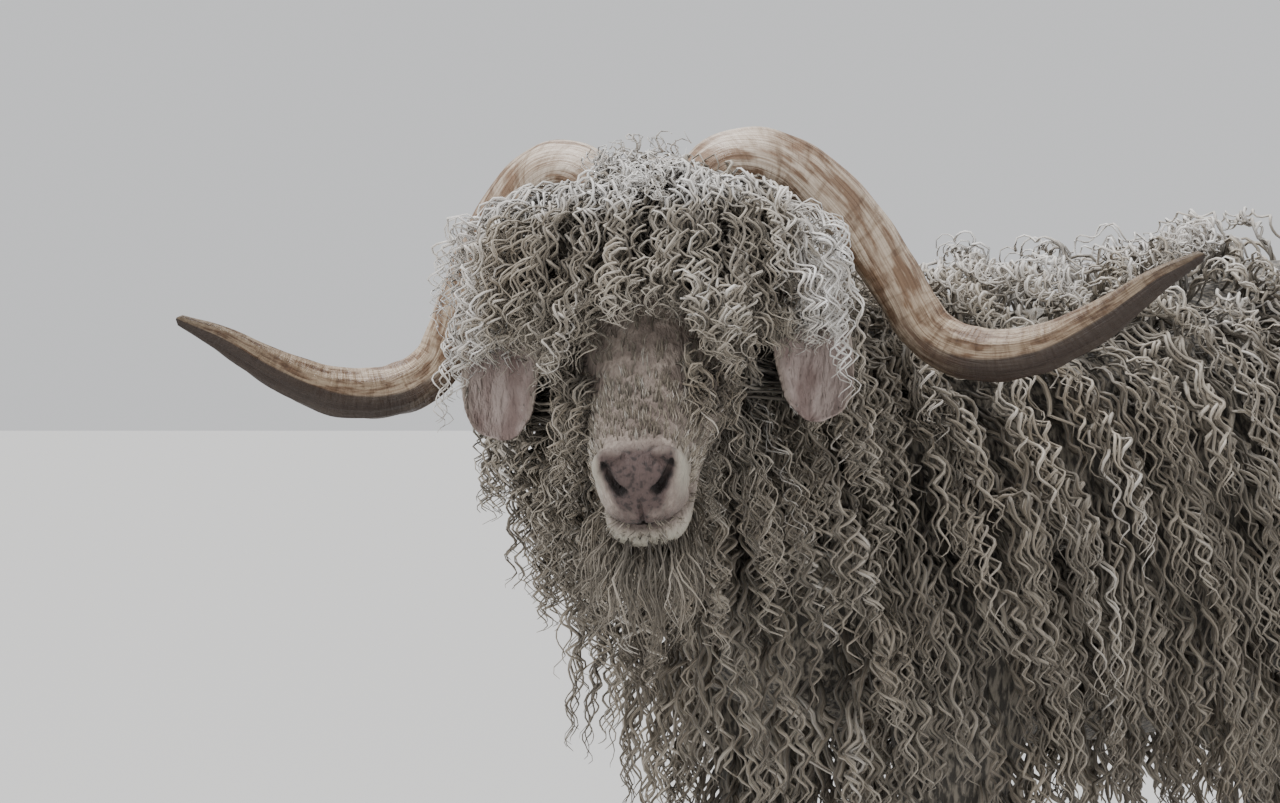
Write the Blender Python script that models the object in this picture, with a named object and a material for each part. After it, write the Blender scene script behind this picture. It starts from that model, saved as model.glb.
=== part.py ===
"""A standing, life-size angora goat with long twisted horns, its head turned to its left.

Metres, +Z up. The goat faces -Y, its left side is towards +X, and its eight claws stand on z = 0.
"""

import math
import random

import bmesh
import bpy
from mathutils import Matrix, Vector
from mathutils.bvhtree import BVHTree

# driving dimensions in metres
gap = 0.0003
fleece_core = 0.026
belly_core = 0.020
neck_core = 0.026
leg_core = 0.009
lock_sink = 0.012
inside_reach = 0.030
edge_clearance = 0.0025
shorter_shares = (1.0, 0.8, 0.6)
horn_scale_left = 1.055
horn_scale_right = 0.945
eye_radius = 0.0135

# how the head is carried, degrees
head_turn = 43.5
head_pitch = 32.0
head_roll = 3.4
head_centre = Vector((0.133, -0.542, 0.712))

# bare body: distance along Y, top, bottom, half width
torso_stations = (
    (-0.395, 0.600, 0.470, 0.050),
    (-0.360, 0.645, 0.425, 0.085),
    (-0.280, 0.690, 0.395, 0.120),
    (-0.180, 0.708, 0.380, 0.140),
    (-0.050, 0.712, 0.370, 0.160),
    (0.100, 0.732, 0.375, 0.172),
    (0.220, 0.757, 0.400, 0.165),
    (0.330, 0.752, 0.440, 0.140),
    (0.405, 0.712, 0.500, 0.100),
    (0.440, 0.665, 0.560, 0.050),
)
torso_front_pole = Vector((0.0, -0.405, 0.535))
torso_rear_pole = Vector((0.0, 0.452, 0.612))

# bare neck: centre, half height, half width, from the shoulders to the head
neck_stations = (
    (Vector((0.000, -0.180, 0.560)), 0.100, 0.090),
    (Vector((0.004, -0.315, 0.600)), 0.108, 0.086),
    (Vector((0.030, -0.400, 0.645)), 0.088, 0.072),
    (Vector((0.072, -0.462, 0.682)), 0.074, 0.062),
    (Vector((0.105, -0.505, 0.700)), 0.066, 0.056),
)
neck_root_station = 1
neck_head_station = 3

# bare legs: height, distance along Y, half length, half width
front_leg_stations = (
    (0.520, -0.215, 0.080, 0.058),
    (0.420, -0.220, 0.062, 0.050),
    (0.345, -0.225, 0.042, 0.038),
    (0.270, -0.228, 0.030, 0.027),
    (0.232, -0.232, 0.030, 0.028),
    (0.205, -0.232, 0.026, 0.024),
    (0.150, -0.228, 0.018, 0.017),
    (0.098, -0.226, 0.018, 0.018),
    (0.076, -0.230, 0.023, 0.024),
    (0.046, -0.244, 0.021, 0.024),
)
hind_leg_stations = (
    (0.560, 0.300, 0.115, 0.060),
    (0.450, 0.290, 0.092, 0.056),
    (0.375, 0.310, 0.058, 0.042),
    (0.315, 0.352, 0.034, 0.029),
    (0.275, 0.380, 0.031, 0.025),
    (0.235, 0.378, 0.024, 0.021),
    (0.160, 0.362, 0.018, 0.017),
    (0.100, 0.352, 0.018, 0.018),
    (0.076, 0.346, 0.023, 0.024),
    (0.046, 0.332, 0.021, 0.024),
)
leg_cut_station = 2
leg_joint_station = 4
wool_end_height = 0.15
leg_stance = 0.105

# bare head, nose towards -Y before it is turned: distance, top, bottom, half width
skull_stations = (
    (0.055, 0.030, -0.040, 0.045),
    (0.030, 0.052, -0.062, 0.058),
    (-0.015, 0.062, -0.080, 0.062),
    (-0.055, 0.056, -0.080, 0.060),
    (-0.080, 0.046, -0.077, 0.053),
    (-0.105, 0.033, -0.073, 0.045),
)
muzzle_stations = (
    (-0.105, 0.033, -0.073, 0.045),
    (-0.130, 0.020, -0.070, 0.0385),
    (-0.148, 0.013, -0.069, 0.0355),
)
mouth_height = -0.050
lip_stations = (
    (-0.140, 0.016, mouth_height, 0.0365),
    (-0.160, 0.009, mouth_height, 0.0350),
    (-0.182, 0.003, mouth_height, 0.0345),
    (-0.198, -0.002, mouth_height - 0.002, 0.0325),
    (-0.209, -0.010, mouth_height - 0.002, 0.0260),
    (-0.2145, -0.020, mouth_height + 0.006, 0.0160),
)
jaw_stations = (
    (-0.1483, mouth_height, -0.068, 0.0330),
    (-0.165, mouth_height, -0.069, 0.0310),
    (-0.185, mouth_height, -0.074, 0.0290),
    (-0.199, mouth_height - 0.001, -0.075, 0.0235),
    (-0.2065, mouth_height - 0.006, -0.070, 0.0140),
)
wool_cap_stations = (
    (0.060, 0.040, 0.034, 0.026, 0.066),
    (0.028, 0.044, 0.046, 0.030, 0.098),
    (-0.018, 0.048, 0.048, 0.026, 0.106),
    (-0.052, 0.046, 0.038, 0.018, 0.088),
    (-0.070, 0.042, 0.022, 0.010, 0.056),
)

# a horn: sideways, backwards and upwards from the head's centre, half width
horn_path = (
    (0.026, 0.002, 0.040, 0.0300),
    (0.046, 0.008, 0.088, 0.0300),
    (0.086, 0.030, 0.092, 0.0285),
    (0.126, 0.052, 0.056, 0.0260),
    (0.154, 0.066, 0.008, 0.0240),
    (0.176, 0.066, -0.034, 0.0228),
    (0.208, 0.058, -0.052, 0.0212),
    (0.250, 0.044, -0.051, 0.0180),
    (0.292, 0.028, -0.033, 0.0138),
    (0.330, 0.014, -0.009, 0.0090),
    (0.360, 0.006, 0.006, 0.0040),
)
horn_steps = 17
horn_sides = 10
horn_flatness = 0.72
horn_keel = 1.18
horn_twist = 150.0

# an ear: sideways, backwards and upwards from the head's centre, half width
ear_path = (
    (0.050, 0.002, 0.014, 0.010),
    (0.076, 0.000, 0.018, 0.015),
    (0.101, -0.004, 0.004, 0.024),
    (0.114, -0.008, -0.028, 0.028),
    (0.118, -0.012, -0.060, 0.026),
    (0.116, -0.016, -0.084, 0.016),
)
ear_thickness = 0.0045
ear_cup = 0.45

eye_place = (0.0490, -0.064, 0.028)
eye_gaze = (0.87, -0.40, 0.22)
lid_radius = 0.0040
lid_reach = 62.0
lid_opening = 0.50

# nostrils, lips and beard on the head before it is turned
nostril_place = (0.0152, -0.212, -0.018)
nostril_half = (0.0046, 0.0088)
nostril_lean = 28.0
nostril_depth = 0.012
wing_stations = (
    (-0.186, 0.0070, 0.0100),
    (-0.202, 0.0085, 0.0108),
    (-0.2105, 0.0072, 0.0088),
    (-0.2140, 0.0044, 0.0054),
)
wing_place = (0.0182, -0.0155)
lip_radius = 0.0030
upper_lip_height = mouth_height + 0.0045
lower_lip_height = mouth_height - 0.0068
beard_places = ((0.010, -0.172), (-0.010, -0.172), (0.0, -0.186), (0.018, -0.158), (-0.018, -0.158))

# kinds of lock: length, half width, half thickness, lift and droop, height over the core, waves and lie
flank_lock = {
    "length": 0.190, "width": 0.040, "thick": 0.011, "lift": 0.45, "droop": 0.35, "steps": 4,
    "rise": 0.036, "wave": 0.006, "curls": 1.1, "lie": (0.0, 0.22, -1.0), "spread": 0.0,
}
spine_lock = {
    **flank_lock, "length": 0.125, "width": 0.046, "thick": 0.013, "rise": 0.015,
    "lift": 0.30, "droop": 0.25, "lie": (0.0, 1.0, -0.10),
}
crest_lock = {**flank_lock, "length": 0.180, "width": 0.044, "rise": 0.026, "lift": 0.25, "spread": 1.2}
skirt_lock = {**flank_lock, "length": 0.210, "rise": 0.030, "lie": (0.0, 0.10, -1.0)}
breast_lock = {**flank_lock, "length": 0.130, "lie": (0.0, 0.0, -1.0)}
mane_lock = {**flank_lock, "length": 0.150, "width": 0.031, "lie": (0.0, 0.0, -1.0), "rise": 0.030}
crest_mane_lock = {**mane_lock, "spread": 1.0, "rise": 0.022}
throat_lock = {**mane_lock, "length": 0.115, "lift": 0.2}
brow_lock = {
    "length": 0.140, "width": 0.021, "thick": 0.009, "lift": 0.75, "droop": 0.50, "steps": 4,
    "rise": 0.026, "wave": 0.005, "curls": 1.5, "lie": (0.0, 0.0, -1.0), "spread": 0.6,
}
crown_lock = {**brow_lock, "length": 0.120, "width": 0.030, "lift": 0.45, "steps": 4, "spread": 1.0}
temple_lock = {
    **brow_lock, "length": 0.165, "width": 0.032, "lift": 1.1, "droop": 0.40, "rise": 0.046, "steps": 5,
}
cheek_lock = {**brow_lock, "length": 0.095, "width": 0.022, "lift": 0.65, "droop": 0.30, "rise": 0.022}
nape_lock = {**crown_lock, "length": 0.110, "width": 0.026}
leg_lock = {
    "length": 0.080, "width": 0.021, "thick": 0.007, "lift": 0.35, "droop": 0.30, "steps": 3,
    "rise": 0.009, "wave": 0.003, "curls": 1.0, "lie": (0.0, 0.0, -1.0), "spread": 0.0,
}
tail_lock = {**leg_lock, "length": 0.085, "width": 0.018, "droop": 0.45, "lie": (0.0, 0.5, -0.5)}
beard_lock = {
    **leg_lock, "length": 0.085, "width": 0.010, "thick": 0.006, "lift": 0.20, "droop": 0.60, "rise": 0.004,
}

# rows on each flank: angle from the spine, first and last place along Y, locks in a row
torso_locks = (crest_lock, flank_lock, flank_lock, skirt_lock)
torso_row_places = (
    (20.0, -0.190, 0.400, 7),
    (52.0, -0.220, 0.400, 7),
    (84.0, -0.240, 0.400, 7),
    (116.0, -0.260, 0.400, 7),
)
spine_places = (-0.225, -0.150, -0.075, 0.000, 0.075, 0.150, 0.225, 0.300, 0.360)
torso_end_places = (
    (breast_lock, -0.300, 0.560, 0.0, 42.0),
    (breast_lock, -0.300, 0.500, -25.0, 42.0),
    (flank_lock, 0.330, 0.640, 10.0, 42.0),
    (flank_lock, 0.330, 0.560, -5.0, 42.0),
)
neck_locks = (
    (crest_mane_lock, (14.0, -14.0)),
    (mane_lock, (58.0, -58.0)),
    (mane_lock, (98.0, -98.0)),
    (throat_lock, (140.0, -140.0, 180.0)),
)
neck_row_shares = (0.14, 0.50, 0.86)
head_locks = (
    (brow_lock, 0.062, -0.020, ((0.0, 8.0), (18.0, 8.0), (34.0, 5.0), (50.0, 2.0), (66.0, -2.0))),
    (brow_lock, 0.070, -0.015, ((13.0, 44.0), (40.0, 38.0))),
    (temple_lock, 0.050, 0.000, ((62.0, 20.0), (80.0, 8.0), (97.0, 4.0))),
    (crown_lock, 0.060, -0.010, ((52.0, 58.0), (14.0, 74.0), (0.0, 62.0))),
    (nape_lock, 0.055, 0.010, ((132.0, 25.0), (168.0, 25.0))),
    (cheek_lock, -0.020, 0.010, ((80.0, 0.0), (112.0, -4.0), (84.0, -36.0), (62.0, -54.0))),
)
leg_lock_rings = (
    (leg_lock, 0.325, (90.0, 180.0, 0.0, 270.0)),
    (leg_lock, 0.293, (45.0, 135.0, 225.0, 315.0)),
)

materials = {
    "fleece": ((0.50, 0.45, 0.37), 0.95, 0.0),
    "short_hair": ((0.52, 0.44, 0.37), 0.85, 0.0),
    "skin": ((0.48, 0.33, 0.28), 0.60, 0.0),
    "horn": ((0.42, 0.33, 0.25), 0.50, 0.0),
    "hoof": ((0.10, 0.08, 0.06), 0.45, 0.0),
    "eye": ((0.30, 0.20, 0.08), 0.10, 0.0),
}


def make_material(name):
    """The Principled material of one finish."""
    colour, roughness, metallic = materials[name]
    made = bpy.data.materials.new(name)
    made.use_nodes = True
    shader = made.node_tree.nodes["Principled BSDF"]
    shader.inputs["Base Color"].default_value = (*colour, 1.0)
    shader.inputs["Roughness"].default_value = roughness
    shader.inputs["Metallic"].default_value = metallic
    made.diffuse_color = (*colour, 1.0)
    return made


def make_object(name, mesh, finish):
    """A named object that shows a mesh in one finish."""
    made = bpy.data.objects.new(name, mesh)
    bpy.context.scene.collection.objects.link(made)
    if finish:
        mesh.materials.clear()
        mesh.materials.append(make_material(finish))
        mesh.shade_smooth()
        mesh.set_sharp_from_angle(angle=math.radians(50))
    return made


def oval_ring(centre, side, up, half_width, above, below, sides, squareness=1.0):
    """Points round an oval whose upper and lower halves differ in height."""
    points = []
    for step in range(sides):
        turn = 2 * math.pi * (step + 0.5) / sides
        across, along = math.cos(turn), math.sin(turn)
        across = math.copysign(abs(across) ** squareness, across)
        along = math.copysign(abs(along) ** squareness, along)
        height = above if along > 0 else below
        points.append(centre + side * (half_width * across) + up * (height * along))
    return points


def loft(rings, start=None, end=None):
    """A closed mesh through rings of equal count, with a point or a flat cap at each end."""
    shape = bmesh.new()
    loops = [[shape.verts.new(point) for point in ring] for ring in rings]
    count = len(loops[0])
    for first, second in zip(loops, loops[1:]):
        for step in range(count):
            after = (step + 1) % count
            shape.faces.new((first[step], first[after], second[after], second[step]))
    for ring, pole in ((loops[0], start), (loops[-1], end)):
        if pole is None:
            shape.faces.new(ring)
            continue
        tip = shape.verts.new(pole)
        for step in range(count):
            shape.faces.new((ring[step], ring[(step + 1) % count], tip))
    bmesh.ops.triangulate(shape, faces=shape.faces)
    bmesh.ops.recalc_face_normals(shape, faces=shape.faces)
    mesh = bpy.data.meshes.new("loft")
    shape.to_mesh(mesh)
    shape.free()
    return mesh


def swollen(mesh, amount):
    """A copy of a mesh pushed outwards along its normals."""
    shape = bmesh.new()
    shape.from_mesh(mesh)
    shape.normal_update()
    moves = [vert.normal * amount * vert.calc_shell_factor() for vert in shape.verts]
    for vert, move in zip(shape.verts, moves):
        vert.co += move
    copy = bpy.data.meshes.new("swollen")
    shape.to_mesh(copy)
    shape.free()
    return copy


def apply_boolean(target, meshes, operation, solver="MANIFOLD"):
    """Joins or cuts a target mesh with a collection of closed meshes."""
    body = make_object("body", target, None)
    group = bpy.data.collections.new("pieces")
    bpy.context.scene.collection.children.link(group)
    for mesh in meshes:
        group.objects.link(bpy.data.objects.new("piece", mesh))
    boolean = body.modifiers.new("Boolean", "BOOLEAN")
    boolean.operand_type = "COLLECTION"
    boolean.collection = group
    boolean.operation = operation
    boolean.solver = solver
    graph = bpy.context.evaluated_depsgraph_get()
    result = bpy.data.meshes.new_from_object(body.evaluated_get(graph))
    for piece in list(group.objects):
        bpy.data.objects.remove(piece)
    bpy.data.collections.remove(group)
    bpy.data.objects.remove(body)
    return largest_shell(result)


def largest_shell(mesh):
    """Keeps only the largest closed surface of a mesh, cleaned of slivers."""
    shape = bmesh.new()
    shape.from_mesh(mesh)
    bmesh.ops.remove_doubles(shape, verts=shape.verts, dist=0.000002)
    bmesh.ops.dissolve_degenerate(shape, edges=shape.edges, dist=0.000002)
    left, shells = set(shape.verts), []
    while left:
        front = [left.pop()]
        shell = set(front)
        while front:
            for edge in front.pop().link_edges:
                for vert in edge.verts:
                    if vert in left:
                        left.discard(vert)
                        shell.add(vert)
                        front.append(vert)
        shells.append(shell)
    shells.sort(key=lambda shell: box_volume([vert.co for vert in shell]))
    for shell in shells[:-1]:
        bmesh.ops.delete(shape, geom=list(shell), context="VERTS")
    bmesh.ops.triangulate(shape, faces=shape.faces)
    shape.to_mesh(mesh)
    shape.free()
    return mesh


def box_volume(points):
    """The volume of the box round some points."""
    sizes = [max(p[axis] for p in points) - min(p[axis] for p in points) for axis in range(3)]
    return sizes[0] * sizes[1] * sizes[2]


def tree_of(meshes):
    """A search tree over the surfaces of some meshes."""
    corners, faces = [], []
    for mesh in meshes:
        first = len(corners)
        corners.extend(vert.co.copy() for vert in mesh.vertices)
        faces.extend([first + index for index in face.vertices] for face in mesh.polygons)
    return BVHTree.FromPolygons(corners, faces)


def clear_of(place, tree, clearance):
    """The place, moved out of a surface until it is at least a clearance away."""
    near, facing, _, distance = tree.find_nearest(place)
    away = place - near
    if distance >= max(clearance, inside_reach):
        return place
    if away.dot(facing) < 0:
        return near + facing * clearance
    if distance >= clearance:
        return place
    return near + (away.normalized() if distance > 1e-5 else facing) * clearance


def make_lock(draw, root, facing, kind, own, others):
    """A flat, wavy, tapered lock that springs from a surface, bends down and lies over what is below."""
    half_width = kind["width"] * draw.uniform(0.88, 1.10)
    step = kind["length"] * draw.uniform(0.88, 1.12) / kind["steps"]
    phase = draw.uniform(0, 2 * math.pi)
    outward = Vector((facing.x, facing.y, 0.0)).normalized()
    lie = Vector(kind["lie"]) + outward * kind["spread"]
    heading = (lie - facing * lie.dot(facing) + facing * kind["lift"]).normalized()
    places, outwards = [root - facing * lock_sink], [facing]
    place = root.copy()
    for count in range(1, kind["steps"] + 1):
        t = count / kind["steps"]
        heading = (heading + Vector((0, 0, -kind["droop"]))).normalized()
        place = clear_of(place + heading * step, own, kind["rise"] * min(1.0, 1.5 * t))
        bent = place
        for tree, clearance in others:
            bent = clear_of(bent, tree, clearance + kind["thick"] * (1 - 0.5 * t))
        if (bent - place).length > step * 0.75 or (bent - places[-1]).length < step * 0.4:
            break
        place = bent
        outwards.append((outwards[-1] + own.find_nearest(place)[1]).normalized())
        places.append(place)
    if len(places) < 4:
        return None
    rings = []
    steps = len(places) - 1
    for count in range(steps):
        t = count / steps
        along = (places[count + 1] - places[max(count - 1, 0)]).normalized()
        across = along.cross(outwards[count]).normalized()
        out = across.cross(along)
        centre = places[count] + across * (kind["wave"] * math.sin(phase + 2 * math.pi * kind["curls"] * t))
        wide = across * half_width * (0.7 + 0.3 * min(t / 0.3, 1)) * (1 - t**3)
        thick = out * kind["thick"] * (1 - 0.5 * t)
        ring = [centre + wide, centre + thick, centre - wide, centre - thick * 0.6]
        for tree, _ in others if count else ():
            ring = [clear_of(corner, tree, edge_clearance) for corner in ring]
        rings.append(ring)
    return loft(rings, None, places[-1])


def roots_from(mesh_tree, starts):
    """Where rays from inside a surface leave it, with the way that it faces there."""
    found = []
    for start, way in starts:
        place, facing, _, _ = mesh_tree.ray_cast(start, way.normalized())
        if place is not None:
            found.append((place, facing if facing.dot(way) > 0 else -facing))
    return found


def grow_locks(seed, core, rows, others, barred=()):
    """Locks of several kinds on one core, shorter or left out where they'd cross a barred surface."""
    draw = random.Random(seed)
    own = tree_of([core])
    made = []
    for kind, starts in rows:
        for root, facing in roots_from(own, starts):
            for share in shorter_shares:
                trimmed = {**kind, "length": kind["length"] * share}
                lock = make_lock(draw, root, facing, trimmed, own, others)
                if lock and not any(tree_of([lock]).overlap(tree) for tree in barred):
                    made.append(lock)
                    break
    return made


# where the head is
head_matrix = (
    Matrix.Translation(head_centre)
    @ Matrix.Rotation(math.radians(head_turn), 4, "Z")
    @ Matrix.Rotation(math.radians(-head_roll), 4, "Y")
)
skull_matrix = head_matrix @ Matrix.Rotation(math.radians(head_pitch), 4, "X")


def by_head(sideways, backwards, upwards):
    """A point given from the head's centre, with the head upright."""
    return head_matrix @ Vector((sideways, backwards, upwards))


def torso_rings(depth, under, sides):
    """Rings round the torso, outside the bare body by a depth of fleece."""
    rings = []
    for along, top, bottom, half_width in torso_stations:
        middle = bottom + (top - bottom) * 0.52
        centre = Vector((0.0, along, middle))
        rings.append(
            oval_ring(
                centre,
                Vector((1, 0, 0)),
                Vector((0, 0, 1)),
                half_width + depth,
                top + depth - middle,
                middle - bottom + under,
                sides,
                0.9,
            )
        )
    return rings


def neck_direction(station):
    """The way that the neck runs at one of its stations."""
    before = neck_stations[max(station - 1, 0)][0]
    after = neck_stations[min(station + 1, len(neck_stations) - 1)][0]
    return (after - before).normalized()


def neck_ring(station, depth, shift, sides):
    """A ring round the neck, moved along it by a shift."""
    centre, half_height, half_width = neck_stations[station]
    along = neck_direction(station)
    side = along.cross(Vector((0, 0, 1))).normalized()
    up = side.cross(along)
    height = half_height + depth
    return oval_ring(centre + along * shift, side, up, half_width + depth, height, height, sides)


def torso_core():
    """The barrel of the body in the inner half of its fleece, with the roots of the legs."""
    barrel = loft(
        torso_rings(fleece_core, belly_core, 16),
        torso_front_pole + Vector((0, -fleece_core, 0)),
        torso_rear_pole + Vector((0, fleece_core, 0)),
    )
    roots = []
    for stations in (front_leg_stations, hind_leg_stations):
        for side in (1, -1):
            roots.append(loft([leg_ring(station, side, 10) for station in stations[: leg_cut_station + 1]]))
    return apply_boolean(barrel, roots, "UNION")


def torso_rows():
    """The rows of locks down each flank, with those of the breast and the rump."""
    rows = []
    for kind, (angle, low, high, count) in zip(torso_locks, torso_row_places):
        starts = []
        for side in (1, -1):
            for place in range(count):
                along = low + (high - low) * (place + (0.25 if side > 0 else 0.0)) / (count - 0.75)
                turn = math.radians(angle)
                starts.append(
                    (Vector((0, along, 0.575)), Vector((side * math.sin(turn), 0.0, math.cos(turn))))
                )
        rows.append((kind, starts))
    rows.append((spine_lock, [(Vector((0, along, 0.575)), Vector((0, 0, 1))) for along in spine_places]))
    for kind, along, height, tilt, spread in torso_end_places:
        starts = []
        for place in range(-1, 2):
            turn = math.radians(spread * place)
            rise = math.tan(math.radians(tilt))
            way = Vector((math.sin(turn), math.copysign(math.cos(turn), along), rise))
            starts.append((Vector((0, along, height)), way))
        rows.append((kind, starts))
    return rows


def make_torso(core, locks, cutters):
    """The body with its locks, and room for the neck and the tail."""
    return carved(apply_boolean(core, locks, "UNION"), cutters)


def carved(mesh, cutters):
    """A mesh with room cut into it for others, and a thin gap round them."""
    return apply_boolean(mesh, [swollen(cutter, gap) for cutter in cutters], "DIFFERENCE")


def neck_loft():
    """The neck in the inner half of its fleece, from the shoulders to the back of the head."""
    rings = [neck_ring(neck_root_station, neck_core, gap, 14)]
    rings.append(neck_ring(2, neck_core, 0, 14))
    rings.append(neck_ring(neck_head_station, neck_core, -gap, 14))
    return loft(rings)


def neck_rows():
    """The rows of locks round the neck, from its crest to the throat."""
    rows = []
    for kind, angles in neck_locks:
        starts = []
        for share in neck_row_shares:
            place = neck_root_station + share * (neck_head_station - neck_root_station)
            first = min(int(place), neck_head_station - 1)
            part = place - first
            centre = neck_stations[first][0].lerp(neck_stations[first + 1][0], part)
            along = neck_direction(first).lerp(neck_direction(first + 1), part).normalized()
            side = along.cross(Vector((0, 0, 1))).normalized()
            up = side.cross(along)
            for angle in angles:
                turn = math.radians(angle)
                starts.append((centre, side * math.sin(turn) + up * math.cos(turn)))
        rows.append((kind, starts))
    return rows


def leg_ring(station, side, sides):
    """A level ring round a leg, with its wool above the pastern."""
    height, along, half_length, half_width = station
    wool = leg_core if height > wool_end_height else 0.0
    centre = Vector((side * leg_stance, along, height))
    return oval_ring(
        centre,
        Vector((1, 0, 0)),
        Vector((0, 1, 0)),
        half_width + wool,
        half_length + wool,
        half_length + wool,
        sides,
    )


def make_leg(stations, side):
    """A leg from its root on the torso down to the knee or the hock, or from there to the pastern."""
    rings = []
    for place, station in enumerate(stations):
        if place == 0:
            station = (station[0] - gap, *station[1:])
        rings.append(leg_ring(station, side, 12))
    return loft(rings)


def leg_rows(stations, side):
    """The rings of short locks down to the knee or the hock."""
    rows = []
    for kind, height, turns in leg_lock_rings:
        above = min(station for station in stations if station[0] >= height)
        below = max(station for station in stations if station[0] <= height)
        part = (height - below[0]) / max(above[0] - below[0], gap)
        along = below[1] + (above[1] - below[1]) * part
        centre = Vector((side * leg_stance, along, height))
        starts = []
        for turn in turns:
            angle = math.radians(turn)
            starts.append((centre, Vector((side * math.sin(angle), -math.cos(angle), 0.0))))
        rows.append((kind, starts))
    return rows


def make_claw(stations, side, half):
    """One of the two claws of a foot, its sole flat on the ground."""
    height, along, half_length, half_width = stations[-1]
    inner = 0.0006
    outer = 0.0245
    top = height - gap
    rings = []
    profile = ((0.0, 1.0, 1.0), (0.006, 1.03, 1.02), (0.5, 0.93, 0.96), (1.0, 0.74, 0.92))
    for level, length, width in profile:
        z = level if level < 0.01 else level * top
        toe = along - half_length - 0.010 * length - (1 - level) * 0.012
        heel = along + half_length * 0.9
        middle, reach = (toe + heel) / 2, (heel - toe) / 2
        near, far = inner, outer * width
        centre = Vector((side * leg_stance + half * (near + far) / 2, middle, z))
        rings.append(
            oval_ring(
                centre,
                Vector((1, 0, 0)),
                Vector((0, 1, 0)),
                (far - near) / 2,
                reach,
                reach,
                10,
                0.7,
            )
        )
    return loft(rings)


def skull_ring(station, sides, squareness=0.9):
    """A ring round the head, upright in the head's own frame before it is turned."""
    along, top, bottom, half_width = station
    middle = (top + bottom) / 2
    half = (top - bottom) / 2
    ring = oval_ring(
        Vector((0, along, middle)),
        Vector((1, 0, 0)),
        Vector((0, 0, 1)),
        half_width,
        half,
        half,
        sides,
        squareness,
    )
    return [skull_matrix @ point for point in ring]


def cap_ring(station, sides):
    """A ring round the wool cap on the crown."""
    along, middle, above, below, half_width = station
    ring = oval_ring(
        Vector((0, along, middle)),
        Vector((1, 0, 0)),
        Vector((0, 0, 1)),
        half_width,
        above,
        below,
        sides,
        0.95,
    )
    return [skull_matrix @ point for point in ring]


def make_skull():
    """The head behind the muzzle, bare of wool."""
    rings = [skull_ring(station, 16) for station in skull_stations]
    return loft(rings, skull_matrix @ Vector((0, 0.062, -0.005)))


def head_core():
    """The head with the inner half of its wool cap, and its lids."""
    cap = loft(
        [cap_ring(station, 14) for station in wool_cap_stations],
        skull_matrix @ Vector((0, 0.072, 0.040)),
        skull_matrix @ Vector((0, -0.070, 0.045)),
    )
    nape = loft(
        [neck_ring(neck_head_station, neck_core, 0, 14), neck_ring(4, neck_core, 0, 14)]
    )
    return apply_boolean(make_skull(), [cap, nape, *make_lids()], "UNION")


def make_lids():
    """The upper and lower lid of each eye, as ridges that hug the ball round its opening."""
    made = []
    for side in (1, -1):
        centre = Vector((side * eye_place[0], eye_place[1], eye_place[2]))
        gaze = Vector((side * eye_gaze[0], eye_gaze[1], eye_gaze[2])).normalized()
        along = gaze.cross(Vector((0, 0, 1))).normalized()
        up = along.cross(gaze)
        reach = math.radians(lid_reach)
        for lift in (lid_opening, -lid_opening):
            rings = []
            for step in range(7):
                turn = math.pi * step / 6
                spread = along * math.cos(turn) + up * (lift * math.sin(turn))
                out = (gaze * math.cos(reach) + spread * math.sin(reach)).normalized()
                run = (up * (lift * math.cos(turn)) - along * math.sin(turn)).normalized()
                spot = centre + out * (eye_radius + 0.0004)
                ring = oval_ring(spot, run.cross(out), out, lid_radius, lid_radius, lid_radius, 6)
                rings.append([skull_matrix @ point for point in ring])
            made.append(loft(rings))
    return made


def head_rows():
    """The rows of locks over the brow, the crown, the temples, the cheeks and the nape."""
    rows = []
    for kind, height, along, places in head_locks:
        starts = []
        for turn, tilt in places:
            for side in (1, -1) if turn else (1,):
                angle, rise = math.radians(turn), math.radians(tilt)
                level = math.cos(rise)
                way = Vector((side * math.sin(angle) * level, -math.cos(angle) * level, math.sin(rise)))
                start = head_matrix @ Vector((0, along, height))
                starts.append((start, head_matrix.to_3x3() @ way))
        rows.append((kind, starts))
    return rows


def lip_roll(stations, height):
    """A thin roll round the edge of a lip, from one corner of the mouth to the other."""
    side = [Vector((row[3] - lip_radius * 0.8, row[0], height)) for row in stations]
    front = Vector((0, stations[-1][0], height))
    path = [*side, front, *[Vector((-spot.x, spot.y, spot.z)) for spot in reversed(side)]]
    rings = []
    for step, spot in enumerate(path):
        along = (path[min(step + 1, len(path) - 1)] - path[max(step - 1, 0)]).normalized()
        out = along.cross(Vector((0, 0, 1))).normalized()
        ring = oval_ring(spot, out, Vector((0, 0, 1)), lip_radius, lip_radius, lip_radius, 5)
        rings.append([skull_matrix @ point for point in ring])
    return loft(rings)


def make_nostril(side):
    """The room of one nostril, a slit that leans inwards at its foot."""
    lean = math.radians(nostril_lean)
    wide = Vector((math.cos(lean), 0, -side * math.sin(lean)))
    tall = Vector((side * math.sin(lean), 0, math.cos(lean)))
    rings = []
    for back, size in ((-nostril_depth, 1.15), (0.0, 1.0), (nostril_depth, 0.6)):
        spot = Vector((side * nostril_place[0], nostril_place[1] + back, nostril_place[2]))
        half = [reach * size for reach in nostril_half]
        ring = oval_ring(spot, wide, tall, half[0], half[1], half[1] * 0.85, 8)
        rings.append([skull_matrix @ point for point in ring])
    return loft(rings)


def make_wing(side):
    """The soft rim beside one nostril."""
    rings = []
    for along, half_width, half_height in wing_stations:
        spot = Vector((side * wing_place[0], along, wing_place[1]))
        across, up = Vector((1, 0, 0)), Vector((0, 0, 1))
        ring = oval_ring(spot, across, up, half_width, half_height, half_height, 10)
        rings.append([skull_matrix @ point for point in ring])
    return loft(rings)


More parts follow.
